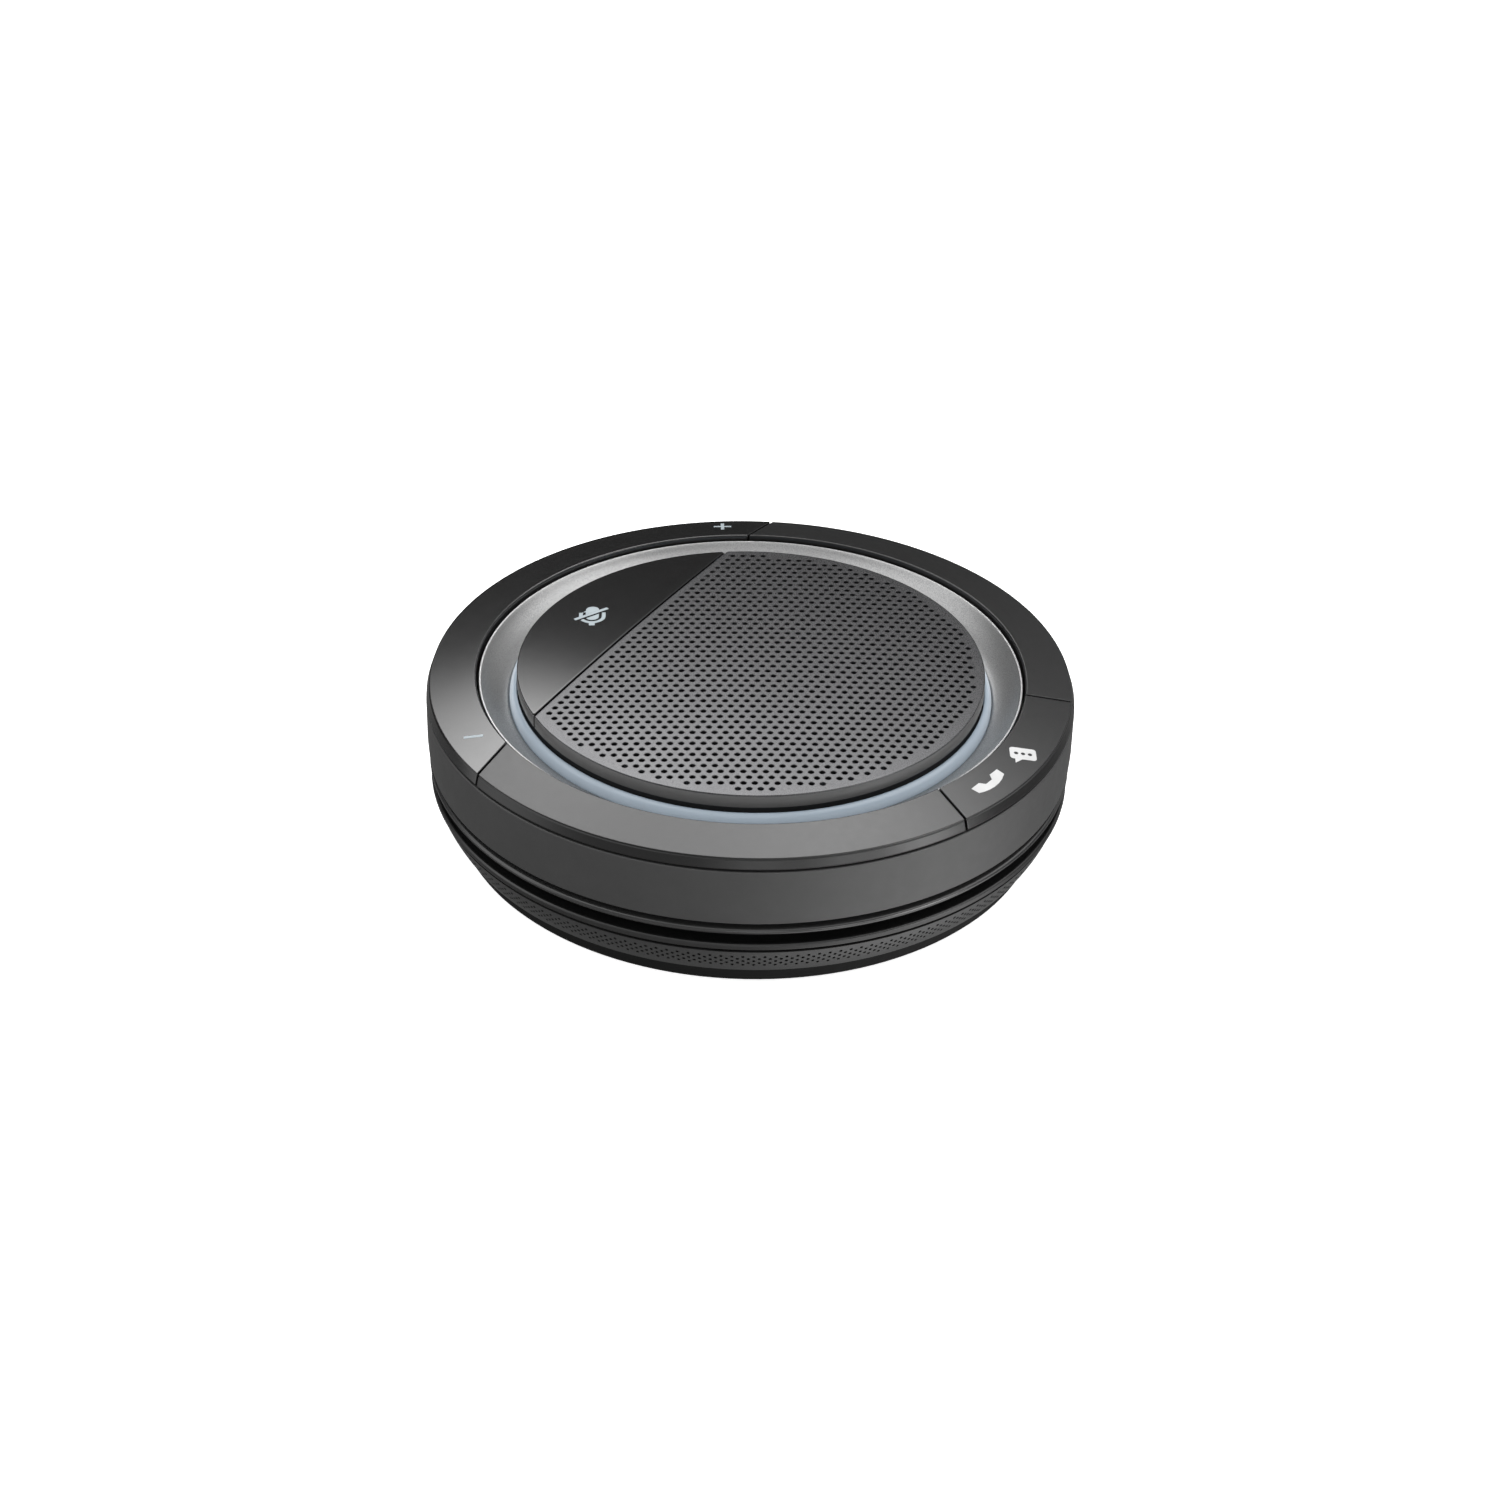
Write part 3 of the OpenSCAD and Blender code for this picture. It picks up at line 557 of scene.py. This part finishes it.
key_outline = disc_outline(True)
grid = [(x * 1.5, y * 1.5) for x in range(-27, 28) for y in range(-27, 28)]
key_grid = [p for p in grid if beyond_chord(*p) > CHORD + 1.5 and hypot(*p) < DISC_R - 1.5]
to_object("mute_key_cap", sheet(key_outline, [], dome_z, CAP_T, 0.15, cap_side, key_grid),
          "mute_gloss", "mute_button", "mute_key")

skirt = rounded([(DISC_R - SKIRT_T, SKIRT_Z), (DISC_R, SKIRT_Z, 0.1), (DISC_R, SKIRT_TOP_Z, 0),
                 (DISC_R - SKIRT_T, SKIRT_TOP_Z)], 0.03)
SKIRT_EDGE = 0.06
to_object("grille_skirt", segment(
    skirt, plane_angle(VOLUME_DIR, volume_out, 1, -1),
    plane_angle(VOLUME_DIR + FULL, volume_out, -1, -1), SKIRT_EDGE),
    "disc_rim_plastic", "housing")
to_object("mute_key_skirt", segment(
    skirt, plane_angle(VOLUME_DIR, volume_in, -1, 1),
    plane_angle(VOLUME_DIR, volume_in, 1, 1), SKIRT_EDGE),
    "disc_rim_plastic", "mute_button")

RIM_R = high("disc_rim").x
RIM_LOW_Z = low("disc_rim").z
to_object("disc_wall", lathe(rounded([
    (RIM_R - 2, RIM_LOW_Z), (RIM_R, RIM_LOW_Z), (RIM_R, high("disc_rim").z - 0.45, 0.05),
    (RIM_R - 0.2, high("disc_rim").z - 0.4), (RIM_R - 2, high("disc_rim").z - 0.4)], 0.08)),
    "inner_plastic", "housing", "disc_rim")


# ---- walls ----

def rounded_slot(width, height, z, y_from, y_to):
    """A bar along Y with round ends, centred on the height z."""
    flat = (width - height) / 2
    turns = range(0, 181, 15)
    outline = [(flat + height / 2 * sin(radians(t)), z + height / 2 * cos(radians(t))) for t in turns]
    outline += [(-x, 2 * z - v) for x, v in outline]
    bm = bmesh.new()
    columns = [[bm.verts.new((x, y, v)) for x, v in outline] for y in (y_from, y_to)]
    stitch(bm, columns, False)
    bm.faces.new(columns[0])
    bm.faces.new(columns[1][::-1])
    return bm


def cut(piece, bm):
    """Takes the shape made in millimetres out of a piece."""
    bmesh.ops.scale(bm, vec=(MM, MM, MM), verts=bm.verts)
    bmesh.ops.recalc_face_normals(bm, faces=bm.faces)
    mesh = bpy.data.meshes.new("cutter")
    bm.to_mesh(mesh)
    bm.free()
    mesh.materials.append(piece.data.materials[0])
    cutter = bpy.data.objects.new("cutter", mesh)
    bpy.context.scene.collection.objects.link(cutter)
    modifier = piece.modifiers.new("cut", "BOOLEAN")
    modifier.operation = "DIFFERENCE"
    modifier.solver = "EXACT"
    modifier.object = cutter
    whole = bpy.context.evaluated_depsgraph_get()
    result = bpy.data.meshes.new_from_object(piece.evaluated_get(whole))
    piece.modifiers.clear()
    piece.data = result
    result.set_sharp_from_angle(angle=radians(35))
    bpy.data.objects.remove(cutter)


SOCKET_Z = (low("usb_shell").z + high("usb_shell").z) / 2
SOCKET_CLEAR = 0.5        # by how much the opening is wider and taller than the socket
SOCKET_W = high("usb_shell").x - low("usb_shell").x + SOCKET_CLEAR
SOCKET_H = high("usb_shell").z - low("usb_shell").z + SOCKET_CLEAR

WALL_IN_R = BODY_R - WALL_T
side_wall = to_object("side_wall_shell", lathe(rounded([
    (WALL_IN_R, WALL_LOW_Z), (BODY_R - 0.2, WALL_LOW_Z, 0.3), (BODY_R, WALL_LOW_Z + 3, 0),
    (BODY_R, WALL_TOP_Z, 0.2), (WALL_IN_R, WALL_TOP_Z)], 0.1)),
    "wall_plastic", "housing", "side_wall")
cut(side_wall, rounded_slot(SOCKET_W, SOCKET_H, SOCKET_Z, BODY_R - 6, BODY_R + 2))

LIP_R = BODY_R - 0.25 - LIP_BEAD              # where the bead's round section is centred
LIP_MID_Z = LIP_LOW_Z + LIP_BEAD
lip_curve = [(LIP_R + LIP_BEAD * cos(radians(t)), LIP_MID_Z + LIP_BEAD * sin(radians(t)), 0)
             for t in range(-90, 91, 12)]
lip = to_object("lip_shell", lathe(rounded(
    [(BODY_R - 5, LIP_LOW_Z, 0.1)] + lip_curve
    + [(BODY_R - 1.85, LIP_LOW_Z + 2 * LIP_BEAD), (BODY_R - 1.85, high("lip_ring").z),
       (BODY_R - 3.2, high("lip_ring").z), (BODY_R - 5, LIP_LOW_Z + 2 * LIP_BEAD)], 0.05)),
    "lip_gloss", "housing", "lip_ring")
cut(lip, rounded_slot(SOCKET_W, SOCKET_H, SOCKET_Z, BODY_R - 6, BODY_R + 2))

RIM_TOP_Z = high("base_rim").z
RIM_OUT_R = high("base_rim").x
GROOVE_Z = RIM_TOP_Z - 0.6
to_object("base_rim_shell", lathe(rounded([
    (RIM_OUT_R - 8, low("base_rim").z), (RIM_OUT_R, low("base_rim").z, 0.18),
    (RIM_OUT_R, RIM_TOP_Z - 0.25, 0.2), (RIM_OUT_R - 0.2, RIM_TOP_Z, 0.2), (RIM_OUT_R - 0.55, RIM_TOP_Z),
    (RIM_OUT_R - 0.55, GROOVE_Z), (RIM_OUT_R - 4.8, GROOVE_Z), (RIM_OUT_R - 4.8, RIM_TOP_Z),
    (RIM_OUT_R - 8, RIM_TOP_Z)], 0.08)),
    "rim_plastic", "housing", "base_rim")
to_object("band_collar", lathe(rounded([
    (RIM_OUT_R - 1.3, low("base_rim").z - 0.7), (RIM_OUT_R - 1, low("base_rim").z - 0.7),
    (RIM_OUT_R - 1, low("base_rim").z - 0.1), (RIM_OUT_R - 1.3, low("base_rim").z - 0.1)], 0.03)),
    "inner_plastic", "housing")


def perforated_band():
    """The tapered band under the rim: one upright strip with its holes, repeated round the body."""
    z_low, z_high = low("lower_grille").z, high("lower_grille").z - 0.6
    r_low, r_high = high("rubber_foot").x, high("lower_grille").x
    height = z_high - z_low
    pitch = 2 * pi * (r_low + r_high) / 2 / BAND_HOLES

    def skin(u, v, inward):
        """Point of the band at u millimetres round and v millimetres up, some depth under its skin."""
        t = v / height
        r = r_low + (r_high - r_low) * t + BAND_BULGE * 4 * t * (1 - t) - inward
        turn = u / pitch * 2 * pi / BAND_HOLES
        return (r * cos(turn), r * sin(turn), z_low + v)

    steps = 14
    sides = [height * i / steps for i in range(steps + 1)]
    left, right = -0.25 * pitch, 0.75 * pitch
    outline = [(left, v) for v in reversed(sides)] + [(0.25 * pitch, 0)]
    outline += [(right, v) for v in sides] + [(0.25 * pitch, height)]
    last_row = BAND_LAST_ROW_Z - z_low
    holes = [circle(0 if row % 2 == 0 else pitch / 2, last_row - (BAND_ROWS - 1 - row) * BAND_ROW_STEP,
                    BAND_HOLE_R, BAND_HOLE_SIDES)
             for row in range(BAND_ROWS)]
    points, triangles = triangulate([outline] + holes)
    bm = bmesh.new()
    for copy in range(BAND_HOLES):
        outer = [bm.verts.new(skin(p.x + copy * pitch, p.y, 0)) for p in points]
        inner = [bm.verts.new(skin(p.x + copy * pitch, p.y, BAND_T)) for p in points]
        for a, b, c in triangles:
            bm.faces.new((outer[a], outer[b], outer[c]))
            bm.faces.new((inner[c], inner[b], inner[a]))
        first = len(outline)
        for hole in holes:
            for i in range(len(hole)):
                a, b = first + i, first + (i + 1) % len(hole)
                wall = bm.faces.new((outer[b], outer[a], inner[a], inner[b]))
                wall.edges[0].smooth = False
            first += len(hole)
        for ends in ((steps, steps + 1), (steps + 1, steps + 2), (2 * steps + 2, 2 * steps + 3),
                     (2 * steps + 3, 0)):
            a, b = ends
            wall = bm.faces.new((outer[b], outer[a], inner[a], inner[b]))
            wall.edges[0].smooth = False
    bmesh.ops.remove_doubles(bm, verts=bm.verts, dist=0.002)
    return bm


to_object("perforated_band", perforated_band(), "base_mesh", "housing", "lower_grille")


# ---- screws in the bottom ----

SCREW_LOW_Z = low("base_screws").z
SCREW_TOP_Z = high("base_screws").z
SCREW_HEAD_R = 1.9
SCREW_HEAD_T = 0.9
SCREW_R = 1.0
SCREW_STEPS = 40
SCREW_AT = high("base_screws").x - SCREW_HEAD_R     # along X and along Y from the middle
SCREW_PLACES = [(sx * SCREW_AT, sy * SCREW_AT) for sx in (-1, 1) for sy in (-1, 1)]
SCREW_PROFILE = rounded([
    (0, SCREW_LOW_Z, 0), (SCREW_HEAD_R, SCREW_LOW_Z, 0.3), (SCREW_HEAD_R, SCREW_LOW_Z + SCREW_HEAD_T),
    (SCREW_R, SCREW_LOW_Z + SCREW_HEAD_T), (SCREW_R, SCREW_TOP_Z - 0.5), (0, SCREW_TOP_Z, 0)], 0.05)


def bottom_screws():
    bm = bmesh.new()
    for x, y in SCREW_PLACES:
        columns = []
        for j in range(SCREW_STEPS):
            turn = 2 * pi * j / SCREW_STEPS
            columns.append([bm.verts.new((x + p.x * cos(turn), y + p.x * sin(turn), p.y))
                            for p in SCREW_PROFILE])
        stitch(bm, columns, True)
    bmesh.ops.remove_doubles(bm, verts=bm.verts, dist=0.001)
    bmesh.ops.delete(bm, geom=[e for e in bm.edges if not e.link_faces], context="EDGES")
    return bm


def cross_bit(x, y):
    """A cross-shaped punch that tapers as it goes into the head."""
    bm = bmesh.new()
    columns = []
    outside = (SCREW_LOW_Z - 0.2, 1.15, 0.24)     # height, reach of a wing and half its width
    inside = (SCREW_LOW_Z + 0.65, 0.75, 0.16)
    for z, reach, half in (outside, inside):
        arm = [(half, reach), (half, half), (reach, half)]
        loop = [(a * sx, b * sy) for sx, sy, points in (
            (1, 1, arm), (1, -1, arm[::-1]), (-1, -1, arm), (-1, 1, arm[::-1])) for a, b in points]
        columns.append([bm.verts.new((x + a, y + b, z)) for a, b in loop])
    stitch(bm, columns, False)
    bm.faces.new(columns[0])
    bm.faces.new(columns[1][::-1])
    return bm


screws = to_object("bottom_screws", bottom_screws(), "steel", "housing", "base_screws")
for place in SCREW_PLACES:
    cut(screws, cross_bit(*place))


# ---- symbols ----

def disc_shape(x, y, r):
    return circle(x, y, r, 40), lambda p: hypot(p.x - x, p.y - y) < r


def bar_shape(x, y, length, width, turn=0.0):
    along = Vector(polar(1, turn))
    across = Vector((-along.y, along.x))
    middle = Vector((x, y))
    corners = [middle + along * sx * length / 2 + across * sy * width / 2
               for sx, sy in ((-1, -1), (1, -1), (1, 1), (-1, 1))]
    return corners, lambda p: (abs((p - middle).dot(along)) < length / 2
                               and abs((p - middle).dot(across)) < width / 2)


def symbol(name, shapes, inside, top, body, slot, nodes):
    """A thin print on a curved top: the parts of overlapping shapes that inside() accepts."""
    points, edges = [], []
    for outline, _ in shapes:
        first = len(points)
        points += [Vector(p) for p in outline]
        edges += [(first + i, first + (i + 1) % len(outline)) for i in range(len(outline))]
    out = delaunay_2d_cdt(points, edges, [], 0, 1e-5, False)
    tests = [test for _, test in shapes]
    kept = [t for t in out[2]
            if inside([test(sum((out[0][i] for i in t), Vector((0, 0))) / 3) for test in tests])]
    bm = bmesh.new()
    verts = {}
    for triangle in kept:
        corners = []
        for i in triangle:
            if i not in verts:
                p = out[0][i]
                verts[i] = bm.verts.new((p.x, p.y, top(p.x, p.y) + PRINT_RAISE))
            corners.append(verts[i])
        bm.faces.new(corners)
    shell = bmesh.ops.extrude_face_region(bm, geom=bm.faces[:])
    lowered = [g for g in shell["geom"] if isinstance(g, bmesh.types.BMVert)]
    bmesh.ops.translate(bm, vec=(0, 0, -3 * PRINT_RAISE), verts=lowered)
    piece = to_object(name, bm, slot, body, *nodes)
    piece.data.shade_flat()
    return piece


PRINT_RAISE = 0.02

symbol("volume_marks", [bar_shape(-4.4, 51.2, 3.2, 0.6), bar_shape(-4.4, 51.2, 0.6, 3.2),
                        bar_shape(-45.85, -20.95, 3.2, 0.6)],
       any, ring_z, "volume_rocker", "symbol_grey", ["volume_symbols"])

MIC_X, MIC_Y = -27.3, 15.0
SLASH_X, SLASH_Y, SLASH_TURN = -27.5, 16.3, 34


def microphone_test(hit):
    """Capsule, cradle and stem, crossed out by a bar with a clear line beside it."""
    capsule = any(hit[0:3])
    cradle = (hit[3] or hit[4]) and not (hit[5] or hit[6])
    return hit[9] or ((capsule or cradle or hit[7]) and not hit[8])


symbol("mute_mark", [
    disc_shape(MIC_X, MIC_Y + 0.3, 1.15), disc_shape(MIC_X, MIC_Y + 2.65, 1.15),
    bar_shape(MIC_X, MIC_Y + 1.475, 2.3, 2.35),
    disc_shape(MIC_X, MIC_Y + 0.3, 2.3), bar_shape(MIC_X, MIC_Y + 1.0, 4.6, 1.4),
    disc_shape(MIC_X, MIC_Y + 0.3, 1.65), bar_shape(MIC_X, MIC_Y + 1.1, 3.3, 1.6),
    bar_shape(MIC_X, MIC_Y - 2.3, 1, 0.9),
    bar_shape(SLASH_X, SLASH_Y - 0.25, 7.2, 1.15, SLASH_TURN),
    bar_shape(SLASH_X, SLASH_Y, 6.8, 0.65, SLASH_TURN)],
    microphone_test, dome_z, "mute_button", "symbol_grey", ["mute_symbol"])

HANDSET_X, HANDSET_Y, HANDSET_TURN = 32.6, -29, -38.6    # centre of its curve


def around_handset(points):
    """A convex shape whose points are given along and across the handset's own axis."""
    outline = [Vector(polar(hypot(u, v), HANDSET_TURN + degrees(atan2(v, u)), HANDSET_X, HANDSET_Y))
               for u, v in points]
    sides = list(zip(outline, outline[1:] + outline[:1]))
    return outline, lambda p: all((b - a).cross(p - a) > 0 for a, b in sides)


def bubble_shapes(x, y):
    corners = [disc_shape(x + sx * 1.6, y + sy * 0.9, 0.6) for sx in (-1, 1) for sy in (-1, 1)]
    tail = [Vector((x - 1.4, y - 1.3)), Vector((x, y - 1.3)), Vector((x - 1.4, y - 2.6))]
    tail_test = (tail, lambda p: (p.x > x - 1.4 and p.y < y - 1.3
                                  and (p.x - x) + (y - 1.3 - p.y) * 1.077 < 0))
    dots = [disc_shape(x + i * 1.15, y, 0.36) for i in (-1, 0, 1)]
    return [bar_shape(x, y, 4.4, 1.8), bar_shape(x, y, 3.2, 3)] + corners + [tail_test] + dots


def call_test(hit):
    """Handset from parts 0 to 2, speech bubble from part 3 on with its three dots left open."""
    handset = hit[0] and hit[1] and not hit[2]
    bubble = any(hit[3:10]) and not any(hit[10:13])
    return handset or bubble


symbol("call_marks", [
    disc_shape(HANDSET_X, HANDSET_Y, 8.1),
    around_handset([(5.8, -3.65), (9, -3.45), (9, 3.45), (5.8, 3.65)]),
    around_handset([(5.5, -1.8), (6.75, -0.85), (6.75, 0.85), (5.5, 1.8)])] + bubble_shapes(44.1, -24.8),
    call_test, ring_z, "call_rocker", "symbol_white", ["call_symbols"])


# ---- finishes of the CAD nodes that stay ----

for row in frame["record"]["subparts"]:
    node = frame["nodes"][row["node"]]
    node.data.materials.clear()
    node.data.materials.append(MATERIALS[row["material_slot"]])


# ---- camera, floor and studio ----

LENS = 77.29                                  # on a 36 mm sensor
CAMERA_UP = 32.864                            # degrees above the table
CAMERA_ROLL = -1.348
CAMERA_TURN = 1.64
CAMERA_SHIFT = Vector((0.163, -12.643, 546.874))  # ring's centre from the camera: right, down, away


# direction round from +X and up in degrees, full and faded-out radius in degrees, strength
STUDIO_LIGHTS = [
    (94, 51, 12, 19, 6.2),        # main bank behind: the tops that face it
    (103, 39, 5, 11, 5.5),        # beside it: the front end of the volume key
    (75, 52, 6, 11, 7.0),         # beside it: the front right of the ring
    (-90, 72, 15, 45, 1.1),       # overhead from the front
    (5, 46, 14, 36, 3.0),         # right: back left of the bowl
    (175, 46, 14, 36, 2.2),       # left: back right of the bowl
    (52, 10, 8, 28, 0.6),         # low behind
    (-32, 3, 8, 18, 11.0),        # low in front: the ring's bevel
    (-60, 4, 4, 13, 7.0),
    (-88, 4, 5, 14, 3.5),
    (-110, 3, 25, 70, 0.45),      # low and broad: the side wall
    (-178, 4, 8, 30, 2.0),        # low from the left: the volume key's bevel
    (-30, -45, 14, 42, 2.4),      # from below: the band of the base
]
DOME_LIGHT = 0.3
TABLE_LIGHT = 0.28                            # light thrown back by the table


def add_camera():
    look = (Matrix.Rotation(radians(-CAMERA_ROLL), 3, "Z")
            @ Matrix.Rotation(radians(90 + CAMERA_UP), 3, "X")
            @ Matrix.Rotation(radians(CAMERA_TURN), 3, "Z"))
    place = (-(look.transposed() @ CAMERA_SHIFT) + Vector((0, 0, RING_EDGE_Z))) * MM
    data = bpy.data.cameras.new("camera")
    data.lens = LENS
    data.sensor_width = 36
    data.clip_start = 0.01
    camera = bpy.data.objects.new("camera", data)
    turn = look.transposed() @ Matrix.Diagonal((1, -1, -1))
    camera.matrix_world = Matrix.Translation(place) @ turn.to_4x4()
    bpy.context.scene.collection.objects.link(camera)
    bpy.context.scene.camera = camera


def add_floor():
    bm = bmesh.new()
    bmesh.ops.create_grid(bm, x_segments=1, y_segments=1, size=6)
    mesh = bpy.data.meshes.new("floor")
    bm.to_mesh(mesh)
    bm.free()
    floor = bpy.data.objects.new("floor", mesh)
    floor.location.z = -0.02 * MM             # just clear of the foot's underside
    material, tree, shader = node_tree("floor_paper")
    shader.inputs["Base Color"].default_value = (0.85, 0.85, 0.85, 1)
    shader.inputs["Roughness"].default_value = 0.9
    shader.inputs["Specular IOR Level"].default_value = 0.1
    shader.inputs["Emission Color"].default_value = (1, 1, 1, 1)
    shader.inputs["Emission Strength"].default_value = 0.75
    mesh.materials.append(material)
    floor.visible_glossy = False
    floor.visible_diffuse = False
    bpy.context.scene.collection.objects.link(floor)


def add_studio():
    """A soft dome of light: bright overhead and in a broad bank behind, dark near the horizon."""
    world = bpy.data.worlds.new("studio")
    bpy.context.scene.world = world
    world.use_nodes = True
    tree = world.node_tree
    tree.nodes.clear()
    place = tree.nodes.new("ShaderNodeTexCoord")

    def maths(operation, a, b=0.0, clamp=False):
        node = tree.nodes.new("ShaderNodeMath")
        node.operation = operation
        node.use_clamp = clamp
        for socket, value in zip(node.inputs, (a, b)):
            if isinstance(value, (int, float)):
                socket.default_value = value
            else:
                tree.links.new(value, socket)
        return node.outputs[0]

    axes = tree.nodes.new("ShaderNodeSeparateXYZ")
    tree.links.new(place.outputs["Generated"], axes.inputs[0])
    up = axes.outputs["Z"]

    def lobe(azimuth, elevation, inner, outer):
        """1 within inner degrees of a direction, falling smoothly to 0 at outer degrees."""
        aim = Vector((*polar(cos(radians(elevation)), azimuth), sin(radians(elevation))))
        dot = tree.nodes.new("ShaderNodeVectorMath")
        dot.operation = "DOT_PRODUCT"
        dot.inputs[1].default_value = aim
        tree.links.new(place.outputs["Generated"], dot.inputs[0])
        node = tree.nodes.new("ShaderNodeMapRange")
        node.interpolation_type = "SMOOTHSTEP"
        node.inputs["From Min"].default_value = cos(radians(outer))
        node.inputs["From Max"].default_value = cos(radians(inner))
        tree.links.new(dot.outputs["Value"], node.inputs["Value"])
        return node.outputs["Result"]

    def step(value, start, end):
        node = tree.nodes.new("ShaderNodeMapRange")
        node.interpolation_type = "SMOOTHSTEP"
        node.inputs["From Min"].default_value = start
        node.inputs["From Max"].default_value = end
        tree.links.new(value, node.inputs["Value"])
        return node.outputs["Result"]

    light = maths("ADD", maths("MULTIPLY", step(up, 0.25, 0.9), DOME_LIGHT),
                  maths("MULTIPLY", step(up, 0.05, -0.25), TABLE_LIGHT))
    for azimuth, elevation, inner, outer, strength in STUDIO_LIGHTS:
        light = maths("ADD", light, maths("MULTIPLY", lobe(azimuth, elevation, inner, outer), strength))

    studio = tree.nodes.new("ShaderNodeBackground")
    tree.links.new(light, studio.inputs["Strength"])
    backdrop = tree.nodes.new("ShaderNodeBackground")
    backdrop.inputs["Color"].default_value = (0.93, 0.93, 0.93, 1)
    path = tree.nodes.new("ShaderNodeLightPath")
    mix = tree.nodes.new("ShaderNodeMixShader")
    tree.links.new(path.outputs["Is Camera Ray"], mix.inputs["Fac"])
    tree.links.new(studio.outputs[0], mix.inputs[1])
    tree.links.new(backdrop.outputs[0], mix.inputs[2])
    output = tree.nodes.new("ShaderNodeOutputWorld")
    tree.links.new(mix.outputs[0], output.inputs["Surface"])


add_camera()
add_floor()
add_studio()
bpy.context.scene.view_settings.view_transform = "Standard"
